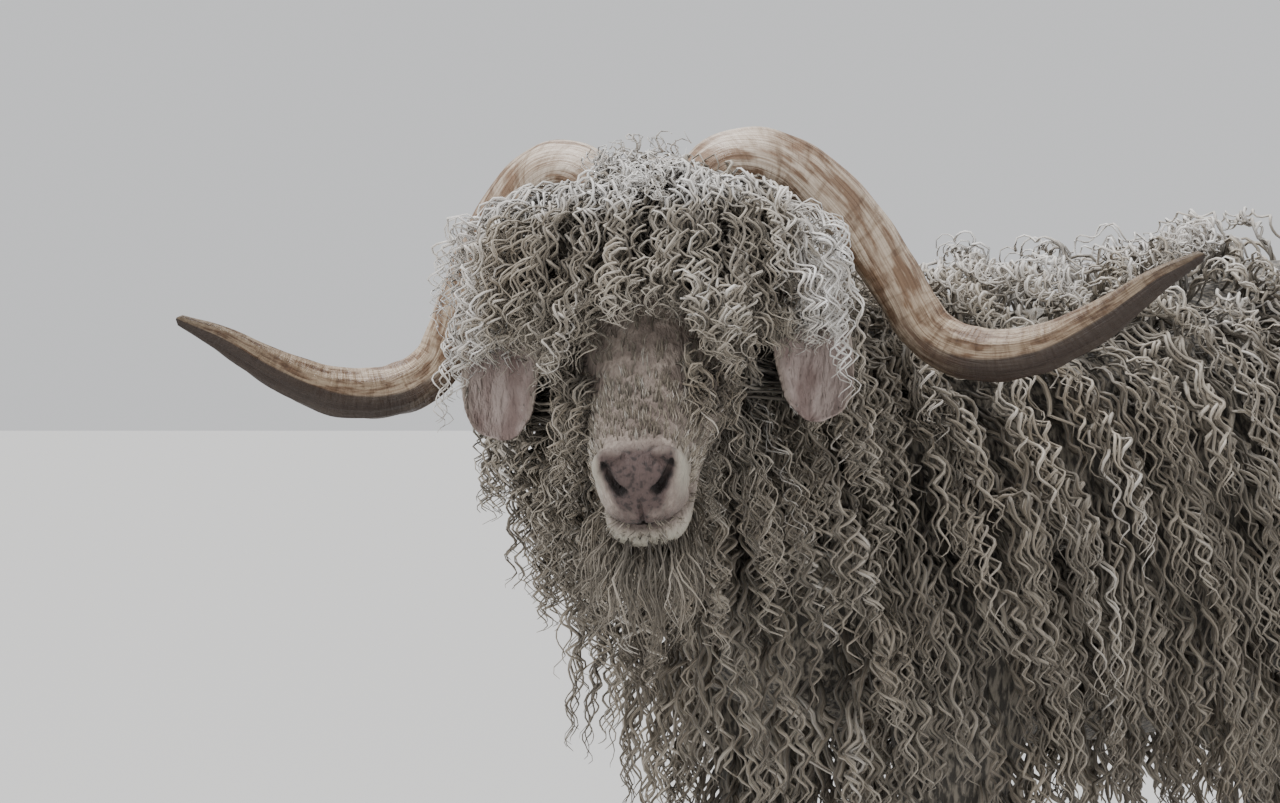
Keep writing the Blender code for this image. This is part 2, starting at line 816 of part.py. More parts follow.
def make_muzzle():
    """The muzzle above the mouth, with its upper lip and its nostrils."""
    shifted = [(muzzle_stations[0][0] - gap, *muzzle_stations[0][1:]), *muzzle_stations[1:]]
    back = loft([skull_ring(station, 16) for station in shifted])
    front = loft(
        [skull_ring(station, 16, 0.72) for station in lip_stations],
        None,
        skull_matrix @ Vector((0, -0.2165, -0.033)),
    )
    lip = lip_roll(lip_stations, upper_lip_height)
    whole = apply_boolean(back, [front, lip, make_wing(1), make_wing(-1)], "UNION")
    return apply_boolean(whole, [make_nostril(1), make_nostril(-1)], "DIFFERENCE")


def make_jaw():
    """The chin and lower lip, under the muzzle."""
    rings = []
    for along, top, bottom, half_width in jaw_stations:
        rings.append(skull_ring((along, top - 2 * gap, bottom, half_width), 12, 0.75))
    chin = loft(rings, None, skull_matrix @ Vector((0, -0.2085, -0.062)))
    return apply_boolean(chin, [lip_roll(jaw_stations, lower_lip_height)], "UNION")


def beard_rows():
    """The beard's locks, under the chin."""
    starts = []
    for sideways, along in beard_places:
        start = skull_matrix @ Vector((sideways, along, -0.060))
        starts.append((start, skull_matrix.to_3x3() @ Vector((0, 0.05, -1))))
    return [(beard_lock, starts)]


def smooth_path(points, steps):
    """Points and values read evenly from a smooth curve through the given rows."""
    rows = [Vector(row) for row in points]
    rows = [2 * rows[0] - rows[1], *rows, 2 * rows[-1] - rows[-2]]
    read = []
    spans = len(rows) - 3
    for step in range(steps):
        place = spans * step / (steps - 1)
        span = min(int(place), spans - 1)
        t = place - span
        a, b, c, d = rows[span : span + 4]
        read.append(
            0.5 * (2 * b + (c - a) * t + (2 * a - 5 * b + 4 * c - d) * t**2 + (3 * b - a - 3 * c + d) * t**3)
        )
    return read


def make_horn(side):
    """A flat, twisted horn that leaves the crown, drops behind the ear and sweeps outwards."""
    stretch = horn_scale_left if side > 0 else horn_scale_right
    rows = smooth_path(horn_path, horn_steps)
    places = []
    for row in rows:
        sideways = row[0] * (1 + (stretch - 1) * min(row[0] / 0.1, 1))
        places.append(by_head(side * sideways, row[1], row[2]))
    rings = []
    for step, row in enumerate(rows):
        before = places[max(step - 1, 0)]
        after = places[min(step + 1, horn_steps - 1)]
        along = (after - before).normalized()
        back = head_matrix.to_3x3() @ Vector((0, 1, 0))
        wide = (back - along * back.dot(along)).normalized()
        turn = side * math.radians(horn_twist) * step / (horn_steps - 1)
        wide = Matrix.Rotation(turn, 3, along) @ wide
        thin = along.cross(wide)
        half = row[3]
        flat = half * horn_flatness
        rings.append(oval_ring(places[step], thin, wide, flat, half, half, horn_sides, horn_keel))
    tip = places[-1] + (places[-1] - places[-2]).normalized() * 0.004
    return loft(rings, None, tip)


def make_ear(side):
    """A hanging ear, cupped towards the front."""
    rows = smooth_path(ear_path, 8)
    places = [by_head(side * row[0], row[1], row[2]) for row in rows]
    front = head_matrix.to_3x3() @ Vector((0, -1, 0))
    rings = []
    for step, row in enumerate(rows):
        before = places[max(step - 1, 0)]
        after = places[min(step + 1, len(rows) - 1)]
        along = (after - before).normalized()
        face = (front - along * front.dot(along)).normalized()
        across = along.cross(face)
        ring = []
        arc = 5
        for layer in (0, 1):
            for place in range(arc):
                t = -1 + 2 * place / (arc - 1)
                t = t if layer == 0 else -t
                cup = ear_cup * row[3] * (t * t - 0.4)
                deep = ear_thickness if layer == 1 and abs(t) < 0.99 else 0.0
                edge = 0.0012 if abs(t) > 0.99 else 0.0
                lift = -edge if layer == 1 else edge
                ring.append(places[step] + across * (row[3] * t) + face * (cup - deep + lift))
        rings.append(ring)
    tip = places[-1] + (places[-1] - places[-2]).normalized() * 0.010
    return loft(rings, None, tip)


def make_eye(side):
    """An eyeball, its axis pointing out of the head."""
    centre = Vector((side * eye_place[0], eye_place[1], eye_place[2]))
    rings = []
    for step in range(1, 7):
        turn = math.pi * step / 7
        radius = eye_radius * math.sin(turn)
        place = centre + Vector((0, 0, eye_radius * math.cos(turn)))
        ring = oval_ring(place, Vector((1, 0, 0)), Vector((0, 1, 0)), radius, radius, radius, 12)
        rings.append([skull_matrix @ point for point in ring])
    top = skull_matrix @ (centre + Vector((0, 0, eye_radius)))
    bottom = skull_matrix @ (centre - Vector((0, 0, eye_radius)))
    return loft(rings, top, bottom)


def make_tail():
    """A short tail, carried up."""
    rings = []
    for step in range(5):
        t = step / 4
        centre = Vector((0, 0.462 + 0.095 * t, 0.690 + 0.085 * t * (1.6 - t)))
        radius = 0.030 * (1 - 0.45 * t)
        rings.append(
            oval_ring(centre, Vector((1, 0, 0)), Vector((0, -0.6, 0.8)), radius, radius, radius, 8)
        )
    return loft(rings)


def tail_rows():
    """The locks that hang from the tail."""
    starts = []
    for along, turn in ((0.500, 90.0), (0.500, -90.0), (0.530, 60.0), (0.530, -60.0), (0.545, 0.0)):
        angle = math.radians(turn)
        way = Vector((math.sin(angle), 0.3 * math.cos(angle), math.cos(angle)))
        starts.append((Vector((0, along, 0.740)), way))
    return [(tail_lock, starts)]


def build():
    """Makes every named piece, then centres the goat over its own origin."""
    for old in list(bpy.data.objects):
        bpy.data.objects.remove(old)
    horns = {side: make_horn(side) for side in (1, -1)}
    ears = {side: make_ear(side) for side in (1, -1)}
    eyes = {side: make_eye(side) for side in (1, -1)}
    legs, shanks = {}, {}
    for end, stations in (("front", front_leg_stations), ("hind", hind_leg_stations)):
        for side in (1, -1):
            legs[end, side] = make_leg(stations[leg_cut_station : leg_joint_station + 1], side)
            shanks[end, side] = make_leg(stations[leg_joint_station:], side)
    neck, tail, jaw, muzzle = neck_loft(), make_tail(), make_jaw(), make_muzzle()
    trunk, skull = torso_core(), head_core()
    horn_tree, ear_tree = tree_of(horns.values()), tree_of(ears.values())

    leg_tree = tree_of(legs.values())
    trunk_others = [(tree_of([neck]), 0.012), (leg_tree, 0.022), (horn_tree, 0.004)]
    trunk_locks = grow_locks(1, trunk, torso_rows(), trunk_others)
    trunk_tree = tree_of([trunk, *trunk_locks])
    neck_others = [(trunk_tree, 0.003), (tree_of([skull]), 0.010), (horn_tree, 0.004)]
    neck_locks_made = grow_locks(2, neck, neck_rows(), neck_others, [trunk_tree])
    neck_tree = tree_of([neck, *neck_locks_made])
    front_others = [(tree_of([muzzle, jaw]), 0.003), (horn_tree, 0.002), (ear_tree, 0.002)]
    head_others = [(neck_tree, 0.003), (trunk_tree, 0.003), *front_others]
    face_tree = tree_of([muzzle, jaw])
    skull_locks = grow_locks(3, skull, head_rows(), head_others, [face_tree, trunk_tree])
    beard_others = [(neck_tree, 0.003), (tree_of([muzzle]), 0.003), (tree_of([skull, *skull_locks]), 0.003)]
    beard = grow_locks(4, jaw, beard_rows(), beard_others)
    tail_locks = grow_locks(5, tail, tail_rows(), [(trunk_tree, 0.003)], [trunk_tree])

    set_in_head = [neck, *neck_locks_made, *horns.values(), *ears.values(), *eyes.values()]
    made = [
        make_object("torso", make_torso(trunk, trunk_locks, [neck, tail]), "fleece"),
        make_object("neck", apply_boolean(neck, neck_locks_made, "UNION"), "fleece"),
        make_object("head", carved(apply_boolean(skull, skull_locks, "UNION"), set_in_head), "fleece"),
        make_object("muzzle", muzzle, "short_hair"),
        make_object("lower_jaw", apply_boolean(jaw, beard, "UNION"), "short_hair"),
        make_object("tail", apply_boolean(tail, tail_locks, "UNION"), "fleece"),
    ]
    for side, word in ((1, "left"), (-1, "right")):
        made.append(make_object(f"horn_{word}", horns[side], "horn"))
        made.append(make_object(f"ear_{word}", ears[side], "skin"))
        made.append(make_object(f"eye_{word}", eyes[side], "eye"))
        for end, stations in (("front", front_leg_stations), ("hind", hind_leg_stations)):
            leg, shank = legs[end, side], shanks[end, side]
            near = [(trunk_tree, 0.003), (tree_of([shank]), 0.004)]
            wool = grow_locks(6 + side, leg, leg_rows(stations, side), near)
            wool = [apply_boolean(lock, [swollen(shank, gap)], "DIFFERENCE") for lock in wool]
            leg = apply_boolean(leg, wool, "UNION", "MANIFOLD")
            made.append(make_object(f"leg_{end}_{word}", leg, "fleece"))
            made.append(make_object(f"shank_{end}_{word}", shank, "fleece"))
            for half, place in ((side, "outer"), (-side, "inner")):
                claw = make_claw(stations, side, half)
                made.append(make_object(f"claw_{end}_{word}_{place}", claw, "hoof"))
    points = [vert.co for thing in made for vert in thing.data.vertices]
    middle = Vector([(min(p[axis] for p in points) + max(p[axis] for p in points)) / 2 for axis in range(3)])
    for thing in made:
        thing.data.transform(Matrix.Translation((-middle.x, -middle.y, 0.0)))


build()
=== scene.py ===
import math
import random

import bmesh
import bpy
import numpy as np
from mathutils import Matrix, Vector
from mathutils.bvhtree import BVHTree


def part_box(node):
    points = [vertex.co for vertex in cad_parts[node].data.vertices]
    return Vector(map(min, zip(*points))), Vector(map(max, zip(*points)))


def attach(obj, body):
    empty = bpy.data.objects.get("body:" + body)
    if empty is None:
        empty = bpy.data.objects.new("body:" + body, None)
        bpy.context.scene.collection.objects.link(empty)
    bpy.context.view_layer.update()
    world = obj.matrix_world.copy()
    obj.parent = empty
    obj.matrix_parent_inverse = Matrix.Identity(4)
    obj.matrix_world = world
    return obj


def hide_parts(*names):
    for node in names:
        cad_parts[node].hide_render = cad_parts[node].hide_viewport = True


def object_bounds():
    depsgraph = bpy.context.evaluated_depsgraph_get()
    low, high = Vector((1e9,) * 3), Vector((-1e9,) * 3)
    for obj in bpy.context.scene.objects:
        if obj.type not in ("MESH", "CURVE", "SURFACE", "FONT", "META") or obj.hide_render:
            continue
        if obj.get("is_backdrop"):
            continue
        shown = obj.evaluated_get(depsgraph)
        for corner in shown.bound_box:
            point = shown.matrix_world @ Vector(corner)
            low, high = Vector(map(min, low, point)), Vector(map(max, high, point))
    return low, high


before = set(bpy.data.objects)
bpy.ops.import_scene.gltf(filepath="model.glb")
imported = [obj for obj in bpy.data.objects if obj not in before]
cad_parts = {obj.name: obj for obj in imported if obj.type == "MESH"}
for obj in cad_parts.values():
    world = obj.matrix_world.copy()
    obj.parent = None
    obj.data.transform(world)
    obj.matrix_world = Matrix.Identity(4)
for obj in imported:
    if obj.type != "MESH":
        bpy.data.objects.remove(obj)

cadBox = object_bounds()
xAxis, yAxis, zAxis = Vector((1, 0, 0)), Vector((0, 1, 0)), Vector((0, 0, 1))

# the goat's measures, in metres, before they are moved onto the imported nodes
carriage = {
    "headTurn": 43.5,
    "headPitch": 32.0,
    "headRoll": 3.4,
    "headCentre": (0.133, -0.542, 0.712),
    "eyePlace": (0.0490, -0.064, 0.028),
    "eyeGaze": (0.87, -0.40, 0.22),
    "eyeRadius": 0.0135,
    "legStance": 0.105,
}
headMatrix = (
    Matrix.Translation(carriage["headCentre"])
    @ Matrix.Rotation(math.radians(carriage["headTurn"]), 4, "Z")
    @ Matrix.Rotation(math.radians(-carriage["headRoll"]), 4, "Y")
)
skullMatrix = headMatrix @ Matrix.Rotation(math.radians(carriage["headPitch"]), 4, "X")


def mirrored(place, side):
    return Vector((side * place[0], place[1], place[2]))


def boxCentre(node):
    low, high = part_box(node)
    return (low + high) / 2


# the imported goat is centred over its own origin, and its eyes say by how much it was moved
eyesNow = (boxCentre("eye_left") + boxCentre("eye_right")) / 2
eyesHere = sum((skullMatrix @ mirrored(carriage["eyePlace"], side) for side in (1, -1)), Vector()) / 2
toFrame = Matrix.Translation((eyesNow.x - eyesHere.x, eyesNow.y - eyesHere.y, 0.0))


# small helpers for modelling by operators
def deselectAll():
    if bpy.context.mode != "OBJECT":
        bpy.ops.object.mode_set(mode="OBJECT")
    bpy.ops.object.select_all(action="DESELECT")


def pickOnly(piece):
    deselectAll()
    piece.select_set(True)
    bpy.context.view_layer.objects.active = piece


def applyModifier(piece, kind, **settings):
    pickOnly(piece)
    modifier = piece.modifiers.new(kind, kind)
    for name, value in settings.items():
        setattr(modifier, name, value)
    bpy.ops.object.modifier_apply(modifier=modifier.name)


def ovalRing(centre, side, up, halfWidth, above, below, sides, squareness=1.0):
    points = []
    for step in range(sides):
        turn = 2 * math.pi * (step + 0.5) / sides
        across, rise = math.cos(turn), math.sin(turn)
        across = math.copysign(abs(across) ** squareness, across)
        rise = math.copysign(abs(rise) ** squareness, rise)
        points.append(centre + side * (halfWidth * across) + up * ((above if rise > 0 else below) * rise))
    return points


def smoothRows(rows, steps):
    # even readings from a smooth curve through rows of numbers
    known = np.array(rows, float)
    known = np.vstack([2 * known[0] - known[1], known, 2 * known[-1] - known[-2]])
    spans = len(known) - 3
    read = []
    for step in range(steps):
        place = spans * step / (steps - 1)
        span = min(int(place), spans - 1)
        t = place - span
        a, b, c, d = known[span:span + 4]
        square, cube = 2 * a - 5 * b + 4 * c - d, 3 * b - a - 3 * c + d
        read.append(0.5 * (2 * b + (c - a) * t + square * t**2 + cube * t**3))
    return read


def extrudeThrough(name, rings):
    # a circle with a face, extruded from ring to ring, closed at both ends
    deselectAll()
    bpy.ops.mesh.primitive_circle_add(vertices=len(rings[0]), radius=0.01, fill_type="NGON")
    piece = bpy.context.object
    piece.name = name
    bpy.ops.object.mode_set(mode="EDIT")
    bpy.ops.mesh.select_mode(type="FACE")
    shape = bmesh.from_edit_mesh(piece.data)
    for vert, place in zip(shape.faces[:][0].verts, rings[0]):
        vert.co = place
    for ring, following in zip(rings, rings[1:]):
        bpy.ops.mesh.extrude_region_move()
        shape = bmesh.from_edit_mesh(piece.data)
        moving = [vert for vert in shape.verts if vert.select]
        for vert in moving:
            here = min(range(len(ring)), key=lambda corner: (ring[corner] - vert.co).length_squared)
            vert.co = following[here]
        bmesh.update_edit_mesh(piece.data)
    bpy.ops.mesh.select_all(action="SELECT")
    bpy.ops.mesh.normals_make_consistent(inside=False)
    bpy.ops.object.mode_set(mode="OBJECT")
    return piece


def joined(name, parts):
    deselectAll()
    for part in parts:
        part.select_set(True)
    bpy.context.view_layer.objects.active = parts[0]
    bpy.ops.object.join()
    parts[0].name = name
    return parts[0]


def cutAway(piece, cutters):
    # the cutters are made one first, so that the large mesh is cut once
    for cutter in cutters[1:]:
        applyModifier(cutters[0], "BOOLEAN", operation="UNION", object=cutter, solver="MANIFOLD")
        bpy.data.objects.remove(cutter)
    applyModifier(piece, "BOOLEAN", operation="DIFFERENCE", object=cutters[0], solver="MANIFOLD")
    bpy.data.objects.remove(cutters[0])


def setMaterial(piece, material):
    piece.data.materials.clear()
    piece.data.materials.append(material)


def finishPiece(piece, slotName, material, nodes=()):
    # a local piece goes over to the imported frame, and rides there
    piece.data.transform(toFrame)
    piece.data.update()
    setMaterial(piece, material)
    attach(piece, "root")
    if nodes:
        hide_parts(*nodes)


def treeOf(pieces):
    corners, faces = [], []
    for piece in pieces:
        first = len(corners)
        corners.extend(vert.co.copy() for vert in piece.data.vertices)
        faces.extend([first + index for index in face.vertices] for face in piece.data.polygons)
    return BVHTree.FromPolygons(corners, faces)


def inSkull(points):
    return [skullMatrix @ point for point in points]


def headRing(row, sides, squareness=0.9):
    along, top, bottom, halfWidth = row[:4]
    middle, half = (top + bottom) / 2, (top - bottom) / 2
    centre = Vector((0, along, middle))
    return inSkull(ovalRing(centre, xAxis, zAxis, halfWidth, half, half, sides, squareness))


# material helpers
def newMaterial(name, roughness, specular=0.5, sheen=0.0):
    material = bpy.data.materials.new(name)
    material.use_nodes = True
    shader = material.node_tree.nodes["Principled BSDF"]
    shader.inputs["Roughness"].default_value = roughness
    shader.inputs["Specular IOR Level"].default_value = specular
    shader.inputs["Sheen Weight"].default_value = sheen
    return material, material.node_tree.nodes, material.node_tree.links, shader


def addNode(nodes, kind, **settings):
    node = nodes.new(kind)
    for name, value in settings.items():
        if name in node.inputs:
            node.inputs[name].default_value = value
        else:
            setattr(node, name, value)
    return node


def mixColour(nodes, links, factor, first, second, blend="MIX"):
    # a colour mix, whose inputs are sockets or plain values
    node = addNode(nodes, "ShaderNodeMix", data_type="RGBA", blend_type=blend)
    for index, value in ((0, factor), (6, first), (7, second)):
        if hasattr(value, "is_linked"):
            links.new(value, node.inputs[index])
        else:
            node.inputs[index].default_value = value
    return node.outputs[2]


def rampOf(nodes, links, value, stops):
    node = nodes.new("ShaderNodeValToRGB")
    ramp = node.color_ramp
    while len(ramp.elements) < len(stops):
        ramp.elements.new(0.5)
    for element, (place, colour) in zip(ramp.elements, stops):
        element.position = place
        element.color = colour if len(colour) == 4 else (*colour, 1.0)
    links.new(value, node.inputs[0])
    return node.outputs[0]


def groupWith(name, inputs, outputs):
    # a node group with its sockets, and the two ends inside it
    group = bpy.data.node_groups.new(name, "ShaderNodeTree")
    for inOrOut, sockets in (("INPUT", inputs), ("OUTPUT", outputs)):
        for label, kind, value in sockets:
            socket = group.interface.new_socket(name=label, in_out=inOrOut, socket_type=kind)
            if value is not None:
                socket.default_value = value
    start, end = group.nodes.new("NodeGroupInput"), group.nodes.new("NodeGroupOutput")
    return group, group.nodes, group.links, start, end


def grainInside(nodes, links, start):
    # noise along a place that is stretched first
    mapping = nodes.new("ShaderNodeMapping")
    noise = nodes.new("ShaderNodeTexNoise")
    for source, target in (("Place", mapping.inputs["Vector"]), ("Stretch", mapping.inputs["Scale"]),
                           ("Scale", noise.inputs["Scale"]), ("Detail", noise.inputs["Detail"])):
        links.new(start.outputs[source], target)
    links.new(mapping.outputs["Vector"], noise.inputs["Vector"])
    return noise.outputs["Fac"]


grainSockets = (
    ("Place", "NodeSocketVector", None), ("Stretch", "NodeSocketVector", (1, 1, 1)),
    ("Scale", "NodeSocketFloat", 1.0), ("Detail", "NodeSocketFloat", 3.0),
)
stainSockets = (
    ("Colour", "NodeSocketColor", None), ("Tint", "NodeSocketColor", None), ("From", "NodeSocketFloat", 0.4),
    ("To", "NodeSocketFloat", 0.6), ("Start", "NodeSocketFloat", 0.0), ("End", "NodeSocketFloat", 1.0),
)


def makeGrainGroup():
    # streaks, mottling and pores, on every finish
    results = (("Mask", "NodeSocketFloat", None),)
    group, nodes, links, start, end = groupWith("coatGrain", grainSockets, results)
    links.new(grainInside(nodes, links, start), end.inputs["Mask"])
    return group


def makeStainGroup():
    # the grain's own tint over a colour, on wool, hair and horn
    results = (("Colour", "NodeSocketColor", None), ("Mask", "NodeSocketFloat", None))
    group, nodes, links, start, end = groupWith("coatStain", grainSockets + stainSockets, results)
    given, mask = start.outputs, grainInside(nodes, links, start)
    spread = addNode(nodes, "ShaderNodeMapRange", clamp=True)
    for source, name in (
        (mask, "Value"), (given["From"], "From Min"), (given["To"], "From Max"), (given["Start"], "To Min"),
        (given["End"], "To Max"),
    ):
        links.new(source, spread.inputs[name])
    tinted = mixColour(nodes, links, spread.outputs["Result"], given["Colour"], given["Tint"], "MULTIPLY")
    links.new(tinted, end.inputs["Colour"])
    links.new(mask, end.inputs["Mask"])
    return group


grainGroup, stainGroup = makeGrainGroup(), makeStainGroup()


def placeGroup(nodes, links, group, **values):
    # a group in a material, whose inputs are sockets or plain values
    node = nodes.new("ShaderNodeGroup")
    node.node_tree = group
    for name, value in values.items():
        if hasattr(value, "is_linked"):
            links.new(value, node.inputs[name])
        else:
            node.inputs[name].default_value = value
    return node.outputs


def maskOf(nodes, name):
    # a colour that is painted on the points
    return addNode(nodes, "ShaderNodeAttribute", attribute_name=name).outputs


def partsOf(nodes, links, colour):
    split = nodes.new("ShaderNodeSeparateColor")
    links.new(colour, split.inputs[0])
    return split.outputs


def greys(*stops):
    return [(place, (level, level, level)) for place, level in stops]


def paintPoints(piece, name, values):
    layer = piece.data.attributes.new(name, "FLOAT_COLOR", "POINT")
    colours = np.column_stack([values, np.ones(len(values))])
    layer.data.foreach_set("color", colours.astype(np.float32).ravel())


def objectNoise(nodes, links, scale, detail=3.0, stretch=(1, 1, 1)):
    place = nodes.new("ShaderNodeTexCoord").outputs["Object"]
    made = placeGroup(nodes, links, grainGroup, Place=place, Stretch=stretch, Scale=scale, Detail=detail)
    return made["Mask"]


def bumpInto(nodes, links, shader, height, strength, distance, before=None):
    bump = addNode(nodes, "ShaderNodeBump", Strength=strength, Distance=distance)
    links.new(height, bump.inputs["Height"])
    if before:
        links.new(before, bump.inputs["Normal"])
    links.new(bump.outputs["Normal"], shader.inputs["Normal"])
    return bump.outputs["Normal"]


# the bare body
body = {
    "torso": (
        (-0.402, 0.560, 0.510, 0.018), (-0.395, 0.600, 0.470, 0.050), (-0.360, 0.645, 0.425, 0.085),
        (-0.280, 0.690, 0.395, 0.120), (-0.180, 0.708, 0.380, 0.140), (-0.050, 0.712, 0.370, 0.160),
        (0.100, 0.732, 0.375, 0.172), (0.220, 0.757, 0.400, 0.165), (0.330, 0.752, 0.440, 0.140),
        (0.405, 0.712, 0.500, 0.100), (0.440, 0.665, 0.560, 0.050), (0.450, 0.630, 0.595, 0.016),
    ),
    "neck": (
        (0.000, -0.180, 0.560, 0.100, 0.090), (0.004, -0.315, 0.600, 0.108, 0.086),
        (0.030, -0.400, 0.645, 0.088, 0.072), (0.072, -0.462, 0.682, 0.074, 0.062),
        (0.105, -0.505, 0.700, 0.066, 0.056),
    ),
    "frontLeg": (
        (0.520, -0.215, 0.080, 0.058), (0.420, -0.220, 0.062, 0.050), (0.345, -0.225, 0.042, 0.038),
        (0.270, -0.228, 0.030, 0.027), (0.232, -0.232, 0.030, 0.028), (0.205, -0.232, 0.026, 0.024),
        (0.150, -0.228, 0.018, 0.017), (0.098, -0.226, 0.018, 0.018), (0.076, -0.230, 0.023, 0.024),
        (0.044, -0.244, 0.021, 0.024),
    ),
    "hindLeg": (
        (0.560, 0.300, 0.115, 0.060), (0.450, 0.290, 0.092, 0.056), (0.375, 0.310, 0.058, 0.042),
        (0.315, 0.352, 0.034, 0.029), (0.275, 0.380, 0.031, 0.025), (0.235, 0.378, 0.024, 0.021),
        (0.160, 0.362, 0.018, 0.017), (0.100, 0.352, 0.018, 0.018), (0.076, 0.346, 0.023, 0.024),
        (0.044, 0.332, 0.021, 0.024),
    ),
    "skull": (
        (0.064, 0.008, -0.018, 0.016), (0.055, 0.030, -0.040, 0.045), (0.030, 0.052, -0.062, 0.058),
        (-0.015, 0.062, -0.080, 0.062), (-0.055, 0.056, -0.080, 0.060), (-0.080, 0.046, -0.077, 0.053),
        (-0.105, 0.033, -0.073, 0.045), (-0.130, 0.020, -0.070, 0.0385), (-0.150, 0.013, -0.069, 0.0355),
        (-0.168, 0.008, -0.066, 0.0300),
    ),
    "woolMound": (
        (0.066, 0.040, 0.012, 0.010, 0.020), (0.055, 0.040, 0.030, 0.024, 0.052),
        (0.020, 0.042, 0.042, 0.028, 0.076),
        (-0.020, 0.044, 0.044, 0.022, 0.082), (-0.050, 0.042, 0.030, 0.014, 0.066),
        (-0.066, 0.040, 0.010, 0.006, 0.030),
    ),
    "muzzle": (
        (-0.136, 0.0170, -0.0500, 0.0350), (-0.160, 0.0100, -0.0500, 0.0335),
        (-0.182, 0.0045, -0.0500, 0.0325),
        (-0.197, 0.0005, -0.0515, 0.0305), (-0.208, -0.0060, -0.0520, 0.0250),
        (-0.2140, -0.0150, -0.0460, 0.0165),
        (-0.2160, -0.0270, -0.0370, 0.0050),
    ),
    "jaw": (
        (-0.1300, -0.0505, -0.0680, 0.0330), (-0.165, -0.0505, -0.0690, 0.0310),
        (-0.185, -0.0505, -0.0740, 0.0290),
        (-0.199, -0.0515, -0.0750, 0.0235), (-0.2065, -0.0565, -0.0700, 0.0140),
        (-0.2083, -0.0605, -0.0640, 0.0040),
    ),
    "ear": (
        (0.036, 0.004, 0.008, 0.009), (0.050, 0.002, 0.014, 0.011), (0.074, 0.000, 0.016, 0.016),
        (0.096, -0.006, 0.000, 0.024), (0.107, -0.012, -0.028, 0.0275), (0.111, -0.016, -0.058, 0.0265),
        (0.111, -0.018, -0.078, 0.0220), (0.110, -0.019, -0.088, 0.0130), (0.110, -0.0195, -0.0925, 0.0040),
    ),
    "earThickness": 0.0058,
    "earCup": 0.42,
    "voxel": 0.00145,
    "orderFrom": (0.7713, -1.3137, 2.1719),
    "facesKept": 178000,
}


def torsoRings(rows, sides):
    rings = []
    for along, top, bottom, halfWidth in rows:
        middle = bottom + (top - bottom) * 0.52
        above, below = top - middle, middle - bottom
        rings.append(ovalRing(Vector((0, along, middle)), xAxis, zAxis, halfWidth, above, below, sides, 0.9))
    return rings


def neckRings(rows, sides):
    rings = []
    for step, row in enumerate(rows):
        before, after = rows[max(step - 1, 0)], rows[min(step + 1, len(rows) - 1)]
        along = Vector(after[:3]) - Vector(before[:3])
        side = along.normalized().cross(zAxis).normalized()
        up = side.cross(along.normalized())
        rings.append(ovalRing(Vector(row[:3]), side, up, row[4], row[3], row[3], sides))
    return rings


def legRings(rows, side, sides):
    rings = []
    for height, along, halfLength, halfWidth in rows:
        centre = Vector((side * carriage["legStance"], along, height))
        rings.append(ovalRing(centre, xAxis, yAxis, halfWidth, halfLength, halfLength, sides))
    return rings


def moundRings(rows, sides):
    rings = []
    for along, middle, above, below, halfWidth in rows:
        ring = ovalRing(Vector((0, along, middle)), xAxis, zAxis, halfWidth, above, below, sides, 0.95)
        rings.append(inSkull(ring))
    return rings


def earFrames(side):
    rows = smoothRows(body["ear"], 26)
    places = [headMatrix @ Vector((side * row[0], row[1], row[2])) for row in rows]
    front = headMatrix.to_3x3() @ Vector((0, -1, 0))
    frames = []
    for step, row in enumerate(rows):
        along = (places[min(step + 1, len(rows) - 1)] - places[max(step - 1, 0)]).normalized()
        facing = (front - along * front.dot(along)).normalized()
        frames.append((places[step], along, facing, along.cross(facing), row[3]))
    return frames


def earRings(side):
    rings = []
    arc = 9
    for place, along, front, across, half in earFrames(side):
        ring = []
        for layer in (0, 1):
            for corner in range(arc):
                t = -1 + 2 * corner / (arc - 1)
                t = t if layer == 0 else -t
                cup = body["earCup"] * half * (t * t - 0.4)
                deep = body["earThickness"] * (1 - 0.25 * t * t) if layer else 0.0
                edge = 0.0006 if abs(t) > 0.99 else 0.0
                raised = cup - deep + (edge if layer == 0 else -edge)
                ring.append(place + across * (half * t) + front * raised)
        rings.append(ring)
    return rings


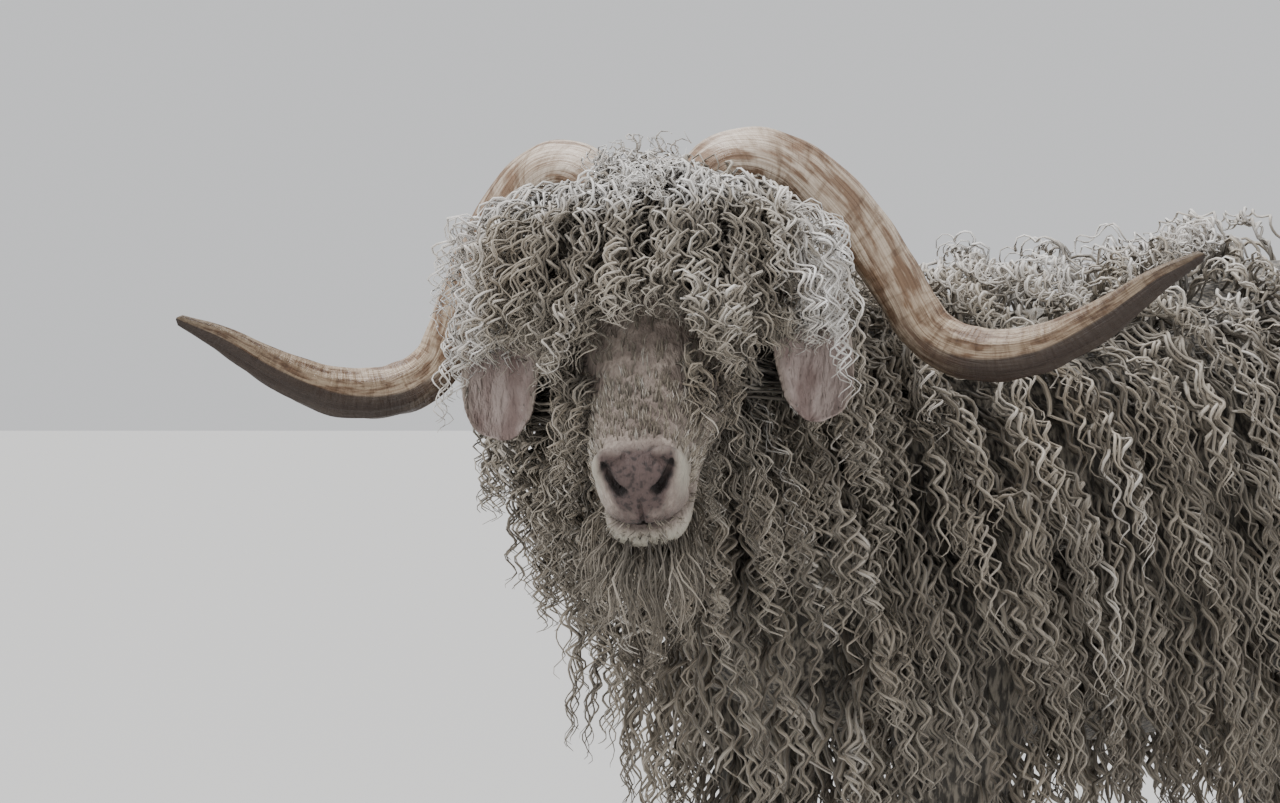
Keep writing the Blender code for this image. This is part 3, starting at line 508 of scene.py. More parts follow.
# the face's own forms: rows of x, y, z and half size, in the skull's frame
face = {
    "nostril": (
        (0.0232, -0.2030, -0.0035, 0.0012), (0.0222, -0.2060, -0.0070, 0.0024),
        (0.0190, -0.2100, -0.0130, 0.0030),
        (0.0150, -0.2130, -0.0185, 0.0037), (0.0112, -0.2140, -0.0215, 0.0042),
        (0.0092, -0.2130, -0.0235, 0.0030),
    ),
    "nostrilDepth": 2.2,
    "wing": (
        (0.0100, -0.2020, -0.0010, 0.0030), (0.0180, -0.2010, 0.0005, 0.0044),
        (0.0252, -0.2000, -0.0050, 0.0050),
        (0.0262, -0.2010, -0.0130, 0.0052), (0.0225, -0.2040, -0.0215, 0.0050),
        (0.0160, -0.2080, -0.0290, 0.0036),
    ),
    "lip": (
        (0.0035, -0.2085, -0.0390, 0.0050), (0.0090, -0.2085, -0.0400, 0.0078),
        (0.0160, -0.2045, -0.0405, 0.0084),
        (0.0235, -0.1970, -0.0410, 0.0078), (0.0290, -0.1850, -0.0425, 0.0060),
    ),
    "groove": (
        (0, -0.2185, -0.0200, 0.0008), (0, -0.2185, -0.0260, 0.0018), (0, -0.2170, -0.0340, 0.0021),
        (0, -0.2160, -0.0430, 0.0026), (0, -0.2140, -0.0520, 0.0026),
    ),
    "mouth": (
        (0.0370, -0.146, -0.0455), (0.0362, -0.160, -0.0480), (0.0350, -0.180, -0.0505),
        (0.0310, -0.196, -0.0515),
        (0.0215, -0.2060, -0.0515), (0.0105, -0.2100, -0.0505), (0, -0.2100, -0.0490),
    ),
    "mouthDepth": 0.0085,
    "mouthHalfHeight": 0.0017,
    # how far open, how far from the gaze in degrees, and how thick: both lids, and the fold over the upper one
    "lids": ((0.52, 62, 0.0046), (-0.46, 62, 0.0040), (0.95, 78, 0.0042)),
}


def sweptTube(name, path, side, deepen):
    # a tube along a path in the face, deeper than it is wide
    rings = []
    rows = smoothRows(path, 14)
    for step, row in enumerate(rows):
        before, after = rows[max(step - 1, 0)], rows[min(step + 1, len(rows) - 1)]
        along = mirrored(after[:3] - before[:3], side).normalized()
        across = along.cross(yAxis).normalized()
        deep = row[3] * deepen
        ring = ovalRing(mirrored(row, side), across, across.cross(along), row[3], deep, deep, 12)
        rings.append(inSkull(ring))
    return extrudeThrough(name, rings)


def nostrilCutter(side):
    # a comma: a thin slit from high on the outside to a round hole low on the inside
    return sweptTube("nostrilCutter", face["nostril"], side, face["nostrilDepth"])


def nostrilWing(side):
    # the raised rim that runs over and down the outside of the nostril
    return sweptTube("nostrilWing", face["wing"], side, 1)


def lipLobe(side):
    # half of the upper lip, swelling each side of the groove under the nose
    rings = []
    for row in face["lip"]:
        size = row[3]
        rings.append(inSkull(ovalRing(mirrored(row, side), yAxis, zAxis, size, size, size, 14)))
    return extrudeThrough("lipLobe", rings)


def grooveCutter():
    # the groove from the nose down to the mouth
    rings = []
    for row in face["groove"]:
        size = row[3]
        rings.append(inSkull(ovalRing(Vector(row[:3]), xAxis, yAxis, size * 0.8, size * 1.5, size * 1.5, 10)))
    return extrudeThrough("grooveCutter", rings)


def eyeAxes(side):
    gaze = mirrored(carriage["eyeGaze"], side).normalized()
    along = gaze.cross(zAxis).normalized()
    return gaze, along, along.cross(gaze)


def lidRoll(side, opening, reach, radius):
    centre = mirrored(carriage["eyePlace"], side)
    gaze, along, up = eyeAxes(side)
    angle = math.radians(reach)
    rings = []
    for step in range(15):
        turn = math.pi * step / 14
        spread = along * math.cos(turn) + up * (opening * math.sin(turn))
        out = (gaze * math.cos(angle) + spread * math.sin(angle)).normalized()
        run = (up * (opening * math.cos(turn)) - along * math.sin(turn)).normalized()
        size = radius * (0.55 + 0.45 * math.sin(turn))
        place = centre + out * (carriage["eyeRadius"] + 0.0006)
        rings.append(inSkull(ovalRing(place, run.cross(out).normalized(), out, size, size, size, 8)))
    return extrudeThrough("lidRoll", rings)


def mouthSlot():
    # a thin wedge round the front and the sides of the mouth
    rings = []
    path = [Vector(row) for row in face["mouth"]]
    path += [Vector((-spot.x, spot.y, spot.z)) for spot in reversed(path[:-1])]
    for step, spot in enumerate(path):
        along = (path[min(step + 1, len(path) - 1)] - path[max(step - 1, 0)]).normalized()
        out = along.cross(zAxis).normalized()
        half = face["mouthHalfHeight"]
        rings.append(inSkull(ovalRing(spot, out, zAxis, face["mouthDepth"], half, half, 8)))
    return extrudeThrough("mouthSlot", rings)


def tailRings():
    rings = []
    for step in range(9):
        t = step / 8
        centre = Vector((0, 0.440 + 0.117 * t, 0.670 + 0.020 * t + 0.085 * t * (1.6 - t)))
        radius = 0.028 * (1 - 0.45 * t) * (1 if step < 8 else 0.6)
        rings.append(ovalRing(centre, xAxis, Vector((0, -0.6, 0.8)), radius, radius, radius, 14))
    return rings


def headRings(name, count, sides, squareness=0.9):
    return [headRing(row, sides, squareness) for row in smoothRows(body[name], count)]


def ballAt(name, place, radius):
    deselectAll()
    bpy.ops.mesh.primitive_uv_sphere_add(segments=32, ring_count=20, radius=radius, location=place)
    piece = bpy.context.object
    piece.name = name
    bpy.ops.object.transform_apply(location=True, rotation=True, scale=True)
    return piece


def putInOrder(piece):
    # the same order of points and faces in each run
    bpy.context.scene.cursor.location = body["orderFrom"]
    pickOnly(piece)
    bpy.ops.object.mode_set(mode="EDIT")
    bpy.ops.mesh.select_all(action="SELECT")
    bpy.ops.mesh.sort_elements(type="CURSOR_DISTANCE", elements={"VERT", "EDGE", "FACE"})
    bpy.ops.object.mode_set(mode="OBJECT")
    bpy.context.scene.cursor.location = (0, 0, 0)


def buildSkin():
    parts = [extrudeThrough("skin", torsoRings(smoothRows(body["torso"], 34), 32))]
    parts.append(extrudeThrough("neckPart", neckRings(smoothRows(body["neck"], 17), 24)))
    for name in ("frontLeg", "hindLeg"):
        for side in (1, -1):
            parts.append(extrudeThrough("legPart", legRings(smoothRows(body[name], 40), side, 18)))
    parts.append(extrudeThrough("skullPart", headRings("skull", 34, 28)))
    parts.append(extrudeThrough("moundPart", moundRings(smoothRows(body["woolMound"], 16), 24)))
    parts.append(extrudeThrough("muzzlePart", headRings("muzzle", 24, 32, 0.78)))
    parts.append(extrudeThrough("jawPart", headRings("jaw", 18, 24, 0.80)))
    for side in (1, -1):
        parts.append(extrudeThrough("earPart", earRings(side)))
        parts.append(nostrilWing(side))
        parts.append(lipLobe(side))
        parts.extend(lidRoll(side, *lid) for lid in face["lids"])
    parts.append(extrudeThrough("tailPart", tailRings()))
    skin = joined("skin", parts)
    applyModifier(skin, "REMESH", mode="VOXEL", voxel_size=body["voxel"])
    putInOrder(skin)
    radius = carriage["eyeRadius"] + 0.0002
    eyes = inSkull(mirrored(carriage["eyePlace"], side) for side in (1, -1))
    sockets = [ballAt("socket", place, radius) for place in eyes]
    cutAway(skin, [nostrilCutter(1), nostrilCutter(-1), grooveCutter(), mouthSlot()] + sockets)
    putInOrder(skin)
    return skin


def pointsOf(piece):
    flat = np.empty(len(piece.data.vertices) * 3, np.float32)
    piece.data.vertices.foreach_get("co", flat)
    return flat.reshape(-1, 3).astype(float)


def inFrame(points, matrix):
    # points seen from a moved and turned frame
    back = np.array(matrix.inverted())
    return points @ back[:3, :3].T + back[:3, 3]


def refineSkin(skin):
    # smoother where it is bare body, finer where it is face
    places = inFrame(pointsOf(skin), skullMatrix)
    upright = inFrame(pointsOf(skin), headMatrix)
    isHead = (np.abs(upright[:, 0]) > 0.074) & (upright[:, 2] < 0.035)
    isHead &= (np.abs(upright[:, 1]) < 0.04) & (np.linalg.norm(upright, axis=1) < 0.17)
    isHead |= np.linalg.norm(places - np.array((0, -0.180, -0.03)), axis=1) < 0.072
    for side in (1, -1):
        isHead |= np.linalg.norm(places - np.array(mirrored(carriage["eyePlace"], side)), axis=1) < 0.023
    # the groups: what may be thinned, and the face and ears, which keep their detail
    bare = skin.vertex_groups.new(name="bare")
    bare.add(np.nonzero(~isHead)[0].tolist(), 1.0, "REPLACE")
    kept = skin.vertex_groups.new(name="face")
    kept.add(np.nonzero(isHead)[0].tolist(), 1.0, "REPLACE")
    applyModifier(skin, "SMOOTH", factor=0.5, iterations=12, vertex_group="bare")
    applyModifier(skin, "SMOOTH", factor=0.5, iterations=2, vertex_group="face")
    count = sum(len(polygon.vertices) - 2 for polygon in skin.data.polygons)
    if count > body["facesKept"]:
        ratio = body["facesKept"] / count
        applyModifier(
            skin, "DECIMATE", ratio=ratio, vertex_group="bare", vertex_group_factor=1.0,
            use_collapse_triangulate=True,
        )
    pickOnly(skin)
    bpy.ops.object.shade_smooth()
    print("skin:", count, "faces before thinning,", len(skin.data.polygons), "after")


print("stage: the bare body")
skin = buildSkin()
refineSkin(skin)


# horns
horn = {
    "path": (
        (0.026, 0.002, 0.040, 0.0300), (0.046, 0.008, 0.088, 0.0300), (0.086, 0.030, 0.092, 0.0285),
        (0.126, 0.052, 0.056, 0.0260), (0.154, 0.066, 0.008, 0.0240), (0.176, 0.066, -0.034, 0.0228),
        (0.208, 0.058, -0.052, 0.0212), (0.250, 0.044, -0.051, 0.0180), (0.292, 0.028, -0.033, 0.0138),
        (0.330, 0.014, -0.009, 0.0090), (0.360, 0.006, 0.006, 0.0040),
    ),
    "stretchLeft": 1.055,
    "stretchRight": 0.945,
    "steps": 120,
    "sides": 30,
    "flatness": 0.72,
    "keel": 1.25,
    "hollow": 0.26,
    "ridge": 0.07,
    "twist": 98.0,
    "darkLower": 0.42,
}


def hornUnder(turn, side, t):
    # 1 in the middle of the flat side, which turns from below to the front, and -1 opposite it
    lean = math.radians(8 + 62 * min(max((t - 0.5) / 0.4, 0), 1))
    return -math.cos(lean) * math.sin(turn) + math.sin(lean) * side * math.cos(turn)


def buildHorn(side):
    stretch = horn["stretchLeft"] if side > 0 else horn["stretchRight"]
    rows = smoothRows(horn["path"], horn["steps"])
    draw = random.Random(11 + side)
    places = []
    for row in rows:
        sideways = row[0] * (1 + (stretch - 1) * min(row[0] / 0.1, 1))
        places.append(headMatrix @ Vector((side * sideways, row[1], row[2])))
    back = headMatrix.to_3x3() @ yAxis
    rings = []
    drift = draw.uniform(0, 6)
    for step, row in enumerate(rows):
        t = step / (horn["steps"] - 1)
        along = (places[min(step + 1, len(rows) - 1)] - places[max(step - 1, 0)]).normalized()
        wide = (back - along * back.dot(along)).normalized()
        wide = Matrix.Rotation(side * math.radians(horn["twist"]) * t, 3, along) @ wide
        across = along.cross(wide)
        drift += 0.50 + 0.35 * math.sin(step * 0.37)
        ripple = 0.022 * math.sin(drift) * (1 - t) ** 0.7 + 0.008 * math.sin(step * 0.9 + 2)
        half = row[3] * (1 + ripple)
        flat = min(max((t - 0.30) / 0.3, 0), 1)
        ring = []
        for corner in range(horn["sides"]):
            turn = 2 * math.pi * (corner + 0.5) / horn["sides"]
            level, spread = math.sin(turn), math.cos(turn)
            dent = 1 + 0.020 * math.sin(corner * 2.4 + 1.3) + 0.014 * math.sin(corner * 4.1 + t * 5)
            # the side that faces down and forward is flat, with a ridge along each edge of it
            facingOut = hornUnder(turn, side, t)
            hollow = horn["hollow"] * flat * min(max((facingOut - 0.45) / 0.35, 0), 1)
            dent *= 1 - hollow + horn["ridge"] * flat * max(1 - abs(facingOut - 0.40) / 0.18, 0)
            point = places[step] + across * (spread * half * horn["flatness"] * dent)
            ring.append(point + wide * (math.copysign(abs(level) ** horn["keel"], level) * half * dent))
        rings.append(ring)
    tip = places[-1] + (places[-1] - places[-2]).normalized() * 0.003
    rings.append([tip + (point - places[-1]) * 0.2 for point in rings[-1]])
    made = extrudeThrough("horn_left_grown" if side > 0 else "horn_right_grown", rings)
    # how far along and round the horn each point is, and how far below, for its colours
    rounded = lambda point: tuple(round(value, 6) for value in point)
    finder = {rounded(point): index for index, point in enumerate(point for ring in rings for point in ring)}
    values = np.zeros((len(made.data.vertices), 3), np.float32)
    for vert in made.data.vertices:
        ring, corner = divmod(finder.get(rounded(vert.co), 0), horn["sides"])
        turn = 2 * math.pi * (corner + 0.5) / horn["sides"]
        lower = hornUnder(turn + side * horn["darkLower"], side, ring / horn["steps"])
        values[vert.index] = (min(ring / horn["steps"], 1.0), 0.5 + 0.5 * math.cos(turn), 0.5 - 0.5 * lower)
    paintPoints(made, "hornPlace", values)
    pickOnly(made)
    bpy.ops.object.shade_smooth()
    return made


print("stage: horns")
horns = {side: buildHorn(side) for side in (1, -1)}


# wool: guides grown from the skin, with strands combed round each of them
def seedsOn(rings, count, draw, keep=None):
    # even places on a lofted form, with the way it faces and its own unwrapped place
    grid = np.array([[tuple(point) for point in ring] for ring in rings])
    first, second = grid[:-1], grid[1:]
    nextFirst, nextSecond = np.roll(first, -1, axis=1), np.roll(second, -1, axis=1)
    cross = np.cross(second - first, nextFirst - first)
    area = np.linalg.norm(cross, axis=2).ravel()
    tries = count * 5
    pick = np.searchsorted(np.cumsum(area) / area.sum(), draw.random(tries))
    u, v = draw.random(tries), draw.random(tries)
    corner = lambda array: array.reshape(-1, 3)[pick]
    low = corner(first) * (1 - u)[:, None] + corner(nextFirst) * u[:, None]
    high = corner(second) * (1 - u)[:, None] + corner(nextSecond) * u[:, None]
    places = low * (1 - v)[:, None] + high * v[:, None]
    middle = grid.mean(axis=1)
    row, column = np.divmod(pick, grid.shape[1])
    centre = (middle[:-1] + middle[1:])[row] / 2
    facing = corner(cross)
    facing /= np.maximum(np.linalg.norm(facing, axis=1), 1e-12)[:, None]
    flip = np.sign(np.sum(facing * (places - centre), axis=1))
    facing *= flip[:, None]
    unwrapped = np.stack([(column + u) / grid.shape[1], (row + v) / (grid.shape[0] - 1)], axis=1)
    ok = np.ones(tries, bool) if keep is None else keep(places, facing)
    places, facing, unwrapped = places[ok], facing[ok], unwrapped[ok]
    cell = math.sqrt(area.sum() * ok.mean() / count) * 0.80
    taken, chosen = {}, []
    for index, place in enumerate(places):
        key = tuple(np.floor(place / cell).astype(int))
        if key not in taken:
            taken[key] = index
            chosen.append(index)
        if len(chosen) >= count:
            break
    return places[chosen], facing[chosen], unwrapped[chosen]


def pushedOut(place, tree, clearance):
    near, facing, _, distance = tree.find_nearest(place)
    away = place - near
    if distance >= max(clearance, 0.035):
        return place
    if away.dot(facing) < 0:
        return near + facing * clearance
    if distance >= clearance:
        return place
    return near + (away.normalized() if distance > 1e-5 else facing) * clearance


def evenly(rows, count):
    # a number of readings at even spaces along a path
    spots, known = np.linspace(0, len(rows) - 1, count), np.array([tuple(row) for row in rows])
    return np.stack([np.interp(spots, np.arange(len(rows)), known[:, axis]) for axis in range(3)], axis=1)


def growGuides(seeds, kind, blocks, draw):
    # each guide springs from the skin, bends with its own weight and keeps off what is near
    places, facings, unwrapped = seeds
    guides, outs, kept = [], [], []
    steps = kind["guideSteps"]
    for index in range(len(places)):
        root, facing = Vector(places[index]), Vector(facings[index])
        near, real, _, distance = skinTree.find_nearest(root)
        if distance > kind["snap"] or facing.dot(real) < 0.2:
            continue
        root = near
        facing = (facing + real).normalized()
        length = kind["length"] * (1 + kind["lengthVary"] * (2 * draw.random() - 1))
        rise = kind["rise"] * (kind["riseLow"] + (1 - kind["riseLow"]) * draw.random() ** 0.7)
        if kind.get("riseAt"):
            rise *= kind["riseAt"](root, facing)
        lie = Vector(kind["lie"](root, facing))
        sway = Vector((draw.random() - 0.5, draw.random() - 0.5, draw.random() - 0.5)) * kind["sway"]
        heading = (lie - facing * lie.dot(facing) + facing * kind["lift"] + sway).normalized()
        step = length / steps
        place = root - facing * 0.003
        path, outward = [place.copy()], [facing.copy()]
        for count in range(1, steps + 1):
            t = count / steps
            heading = (heading + Vector((0, 0, -kind["droop"]))).normalized()
            place = place + heading * step
            if kind["formed"]:
                place = pushedOut(place, formTree, rise * min(1.0, kind["riseRate"] * t) + 0.001)
            for tree, clearance in blocks:
                place = pushedOut(place, tree, clearance)
            if kind.get("within"):
                place = kind["within"](place, draw)
            if kind.get("ends") and kind["ends"](place, draw):
                break
            path.append(place.copy())
            outward.append((outward[-1] * 2 + formTree.find_nearest(place)[1]).normalized())
        if len(path) < 3 or (path[-1] - path[0]).length < kind["shortest"]:
            continue
        guides.append(evenly(path, steps + 1))
        outs.append(evenly(outward, steps + 1))
        kept.append(index)
    return np.array(guides), np.array(outs), places[kept], unwrapped[kept]


def resampled(rows, count):
    # smooth readings along each guide
    known = rows.shape[1]
    spots = np.linspace(0, known - 1, count)
    weights = np.zeros((count, known))
    for line, spot in enumerate(spots):
        span = min(int(spot), known - 2)
        t = spot - span
        parts = (
            -0.5 * t**3 + t**2 - 0.5 * t, 1.5 * t**3 - 2.5 * t**2 + 1,
            -1.5 * t**3 + 2 * t**2 + 0.5 * t, 0.5 * t**3 - 0.5 * t**2,
        )
        for offset, part in zip((-1, 0, 1, 2), parts):
            weights[line, min(max(span + offset, 0), known - 1)] += part
    return np.einsum("kj,njc->nkc", weights, rows)


def unit(rows):
    return rows / np.maximum(np.linalg.norm(rows, axis=-1, keepdims=True), 1e-9)


def combStrands(grown, kind, draw):
    guides, outs, roots, unwrapped = grown
    count, points = kind["strands"], kind["points"]
    centre = np.repeat(resampled(guides, points), count, axis=0)
    outward = np.repeat(unit(resampled(outs, points)), count, axis=0)
    along = unit(np.gradient(centre, axis=1))
    side = unit(np.cross(along, outward))
    outward = np.cross(side, along)
    total = len(centre)
    t = np.linspace(0, 1, points)[None, :]
    length = np.linalg.norm(np.diff(centre, axis=1), axis=2).sum(axis=1)[:, None]
    clump = np.repeat(draw.random((len(guides), 4)), count, axis=0)
    own = draw.random((total, 6))
    # no more turns than the points can draw
    turns = np.minimum(length / (kind["wavelength"] * (0.75 + 0.5 * clump[:, 0:1])), (points - 1) / 6.3)
    phase = 2 * np.pi * (clump[:, 1:2] + kind["loose"] * own[:, 0:1])
    wave = lambda turns, start: np.sin(2 * np.pi * (turns * t + start))
    swell = 1 + 0.32 * wave(1.9, own[:, 0:1]) * wave(3.1, clump[:, 0:1])
    vary = lambda chance: 0.75 + 0.5 * chance
    reach = kind["amplitude"] * np.minimum(t / 0.22, 1.0) * vary(clump[:, 2:3]) * vary(own[:, 1:2]) * swell
    hand = np.where(clump[:, 3:4] > 0.5, 1.0, -1.0)
    angle = phase + 2 * np.pi * turns * t + kind["wander"] * wave(1.4, own[:, 4:5])
    spread = kind["spread"] * (kind["tipSpread"] * t + (1 - t)) * np.sqrt(own[:, 2:3])
    spin = 2 * np.pi * (own[:, 3:4] + 0.35 * t * (own[:, 5:6] - 0.5))
    stray = kind["stray"] * t * wave(0.9, own[:, 4:5])
    offSide = reach * np.cos(angle) + spread * np.cos(spin) + stray
    offOut = reach * hand * np.sin(angle) * kind["roundness"] + spread * np.sin(spin) * 0.6 + 0.5 * stray
    line = centre + side * offSide[..., None] + outward * offOut[..., None]
    shorten = 0.80 + 0.20 * own[:, 4:5]
    line = line[:, :1] + (line - line[:, :1]) * (1 - (1 - shorten[..., None]) * t[..., None])
    run = unit(np.gradient(line, axis=1))
    side = unit(np.cross(run, outward))
    outward = np.cross(side, run)
    taper = (0.75 + 0.25 * np.minimum(t / 0.15, 1)) * (1 - kind["point"] * t**4)
    wide = kind["width"] * (0.75 + 0.5 * own[:, 5:6]) * taper
    thick = wide * kind["flat"]
    shade = (clump[:, 2:3] * 0.6 + own[:, 1:2] * 0.4) * np.ones_like(t)
    return {
        "line": line,
        "side": side,
        "out": outward,
        "wide": wide,
        "thick": thick,
        "along": t * np.ones((total, 1)),
        "shade": shade,
        "roots": np.repeat(roots, count, axis=0),
        "unwrapped": np.repeat(unwrapped, count, axis=0),
    }


woolColours = {
    # white: the cleanest wool, which also carries the painted top light along the back and round the mop's rim
    "white": (0.95, 0.94, 0.925),
    "cream": (0.51, 0.460, 0.385),
    "grey": (0.180, 0.158, 0.128),
    # root: painted shade deep in the wool, near the skin
    "root": (0.052, 0.045, 0.036),
}


def blendOf(first, second, amount):
    return first * (1 - amount[..., None]) + second * amount[..., None]


def woolShade(strands, tone):
    # cream between grey and white strands, by the tone of the place, and darkened towards the skin with
    # painted shade, as deep among the locks
    shade, along, line = strands["shade"], strands["along"], strands["line"]
    colours = {name: np.array(value) for name, value in woolColours.items()}
    level = np.clip(tone(line, strands["roots"]) + (shade - 0.5) * 1.0, 0, 1)
    colour = np.where(
        (level < 0.5)[..., None],
        blendOf(colours["grey"], colours["cream"], np.clip(level * 2, 0, 1)),
        blendOf(colours["cream"], colours["white"], np.clip(level * 2 - 1, 0, 1)),
    )
    # painted shade: the first part of each strand is darkened towards the root colour
    depth = np.clip(along / 0.40, 0, 1) ** 0.8
    return blendOf(colours["root"], colour, 0.15 + 0.85 * depth)


def strandShapes(strands, colour, tile, most=30000):
    # closed three-sided strands as plain rows of corners, faces, places on the unwrap and tints
    line, side, out = strands["line"], strands["side"], strands["out"]
    total, points = line.shape[:2]
    perShape = max(1, most // (6 * (points - 1) + 4))
    faces, patch = [], []
    for ring in range(points - 1):
        for edge in range(3):
            after = (edge + 1) % 3
            a, b, c, d = 3 * ring + edge, 3 * ring + after, 3 * ring + 3 + after, 3 * ring + 3 + edge
            low, high, near, far = ring / points, (ring + 1) / points, edge / 3, (edge + 1) / 3
            faces += [(a, b, c), (a, c, d)]
            patch += [((near, low), (far, low), (far, high)), ((near, low), (far, high), (near, high))]
    last, tip = 3 * (points - 1), 3 * points
    for edge in range(3):
        faces.append((last + edge, last + (edge + 1) % 3, tip))
        patch.append(((edge / 3, 0.97), ((edge + 1) / 3, 0.97), ((edge + 0.5) / 3, 1.0)))
    faces.append((2, 1, 0))
    patch.append(((0.66, 0.0), (0.33, 0.0), (0.0, 0.0)))
    faces, patch = np.array(faces), np.array(patch)
    for start in range(0, total, perShape):
        part = slice(start, min(start + perShape, total))
        number = part.stop - part.start
        centre, wide, thick = line[part], strands["wide"][part][..., None], strands["thick"][part][..., None]
        rings = np.stack([
            centre + out[part] * thick,
            centre - out[part] * thick * 0.5 + side[part] * wide,
            centre - out[part] * thick * 0.5 - side[part] * wide,
        ], axis=2).reshape(number, -1, 3)
        tips = centre[:, -1] + unit(centre[:, -1] - centre[:, -2]) * wide[:, -1] * 3
        corners = np.concatenate([rings, tips[:, None]], axis=1)
        tints = np.concatenate([np.repeat(colour[part], 3, axis=1), colour[part][:, -1:]], axis=1)
        numbered = (faces[None] + (np.arange(number) * corners.shape[1])[:, None, None]).reshape(-1, 3)
        base = strands["unwrapped"][part] * np.array(tile[2:]) + np.array(tile[:2])
        places = base[:, None, None, :] + patch[None] * 0.003
        run = np.linalg.norm(np.diff(centre, axis=1), axis=2).sum(axis=1)[:, None, None, None]
        shift = np.arange(start, part.stop)[:, None, None, None] * 0.37
        fibres = patch[None] * np.concatenate([np.ones_like(run), run * 40], axis=3) + shift
        flat = [values.reshape(-1, values.shape[-1]) for values in (corners, places, tints, fibres)]
        yield flat[0], numbered, *flat[1:]


def woolPiece(name, shapes, material, slotName):
    starts = np.cumsum([0] + [len(shape[0]) for shape in shapes])
    faces = np.concatenate([shape[1] + start for shape, start in zip(shapes, starts)])
    corners, _, places, tints, fibres = (np.concatenate(values) for values in zip(*shapes))
    mesh = bpy.data.meshes.new(name)
    mesh.vertices.add(len(corners))
    mesh.loops.add(faces.size)
    mesh.polygons.add(len(faces))
    mesh.vertices.foreach_set("co", corners.astype(np.float32).ravel())
    mesh.loops.foreach_set("vertex_index", faces.astype(np.int32).ravel())
    mesh.polygons.foreach_set("loop_start", np.arange(0, faces.size, 3, dtype=np.int32))
    mesh.update(calc_edges=True)
    mesh.polygons.foreach_set("use_smooth", np.ones(len(faces), bool))
    mesh.uv_layers.new(name="OFBake").data.foreach_set("uv", places.astype(np.float32).ravel())
    mesh.uv_layers.new(name="fibre").data.foreach_set("uv", fibres.astype(np.float32).ravel())
    mesh.uv_layers.active_index = 0
    piece = bpy.data.objects.new(name, mesh)
    paintPoints(piece, "woolColour", tints)
    bpy.context.scene.collection.objects.link(piece)
    finishPiece(piece, slotName, material)


coat = {"facesEach": 185000}


def strandPieces(name, groups, tile, material, slotName):
    # the strands of a kind, joined into pieces of no more than the limit
    held, made, faces, total, strandCount = [], 0, 0, 0, 0
    for strands, colour in groups:
        strandCount += len(strands["line"])
        for shape in strandShapes(strands, colour, tile):
            if faces + len(shape[1]) > coat["facesEach"]:
                made += 1
                woolPiece(f"{name}_{made}", held, material, slotName)
                held, faces = [], 0
            held.append(shape)
            faces += len(shape[1])
            total += len(shape[1])
    made += 1
    woolPiece(f"{name}_{made}", held, material, slotName)
    print("wool:", name, strandCount, "strands in", made, "pieces,", total, "faces")


# wool and hair materials
woolLook = {
    "dust": {
        "Scale": 38.0, "Detail": 4.0, "From": 0.45, "To": 0.75, "End": 0.6, "Tint": (0.30, 0.26, 0.21, 1.0),
    },
    "patch": {
        "Scale": 9.0, "Detail": 2.0, "From": 0.42, "To": 0.70, "End": 0.35, "Tint": (0.66, 0.57, 0.45, 1.0),
    },
    "fibre": {
        "Stretch": (14.0, 0.9, 1.0), "Detail": 2.0, "From": 0.38, "To": 0.56, "Start": 0.85, "End": 0.0,
        "Tint": (0.42, 0.37, 0.31, 1.0),
    },
}


def makeWool(name, roughness, sheen):
    material, nodes, links, shader = newMaterial(name, roughness, 0.32, sheen)
    colour = maskOf(nodes, "woolColour")["Color"]
    place = nodes.new("ShaderNodeTexCoord").outputs["Object"]
    for stain in ("dust", "patch"):
        colour = placeGroup(nodes, links, stainGroup, Place=place, Colour=colour, **woolLook[stain])["Colour"]
    # each strand reads as a bundle of fine fibres
    lengthwise = addNode(nodes, "ShaderNodeUVMap", uv_map="fibre").outputs["UV"]
    lined = placeGroup(nodes, links, stainGroup, Place=lengthwise, Colour=colour, **woolLook["fibre"])
    links.new(lined["Colour"], shader.inputs["Base Color"])
    bumpInto(nodes, links, shader, lined["Mask"], 0.6, 0.0010)
    return material


woolMaterial = makeWool("curlyMohair", 0.62, 0.15)
hairMaterial = makeWool("shortHair", 0.58, 0.10)


# kinds of wool
mop = {
    "top": 0.083,
    "tuft": 0.020,
    "halfWidth": 0.162,
    "fringe": -0.030,
    "faceHalf": 0.032,
    "overEars": -0.046,
    "sides": -0.085,
    "ragged": 0.024,
}


def hanging(backward, outward):
    # down, a little to the rear, and off the top of the back to its own side
    def lie(root, facing):
        flat = Vector((facing.x, facing.y, 0))
        flat = flat.normalized() if flat.length > 0.15 else Vector((1.0 if root.x >= 0 else -1.0, 0, 0))
        return Vector((0, backward, -1.0)) + flat * (outward * max(facing.z, 0))

    return lie


def lyingInHead(*heading):
    return lambda root, facing: headMatrix.to_3x3() @ Vector(heading)


def inHead(place):
    return headMatrix.inverted() @ place


def mopLie(root, facing):
    # away from the poll on every side, and over the brow in front
    spot = inHead(root)
    away = Vector((spot.x * 1.2, spot.y - 0.035, -0.02))
    return headMatrix.to_3x3() @ (away.normalized() + Vector((0, 0, -0.35)))


def mopRise(root, facing):
    spot = headMatrix.to_3x3().inverted() @ facing
    return 0.12 + 1.15 * abs(spot.x) ** 1.5 + 0.75 * max(-spot.y, 0) + 0.3 * max(spot.y, 0)


def mopWithin(place, draw):
    # the dome of the mop, under the horns' bases
    spot = inHead(place)
    top = mop["top"] + mop["tuft"] * math.exp(-((spot.x / 0.018) ** 2)) + (0.010 * draw.random() - 0.005)
    if spot.z > 0:
        reach = (abs(spot.x) / mop["halfWidth"]) ** 2.4 + (spot.z / top) ** 2.4
        if reach > 1:
            shrink = reach ** (-1 / 2.4)
            spot = Vector((spot.x * shrink, spot.y, spot.z * shrink))
    spot.x = max(min(spot.x, mop["halfWidth"]), -mop["halfWidth"])
    return headMatrix @ spot


def behindEars(place, draw):
    spot = inHead(place)
    if 0.068 < abs(spot.x) < 0.146 and -0.100 < spot.z < 0.03:
        spot.y = max(spot.y, 0.010 + 0.010 * draw.random())
    return headMatrix @ spot


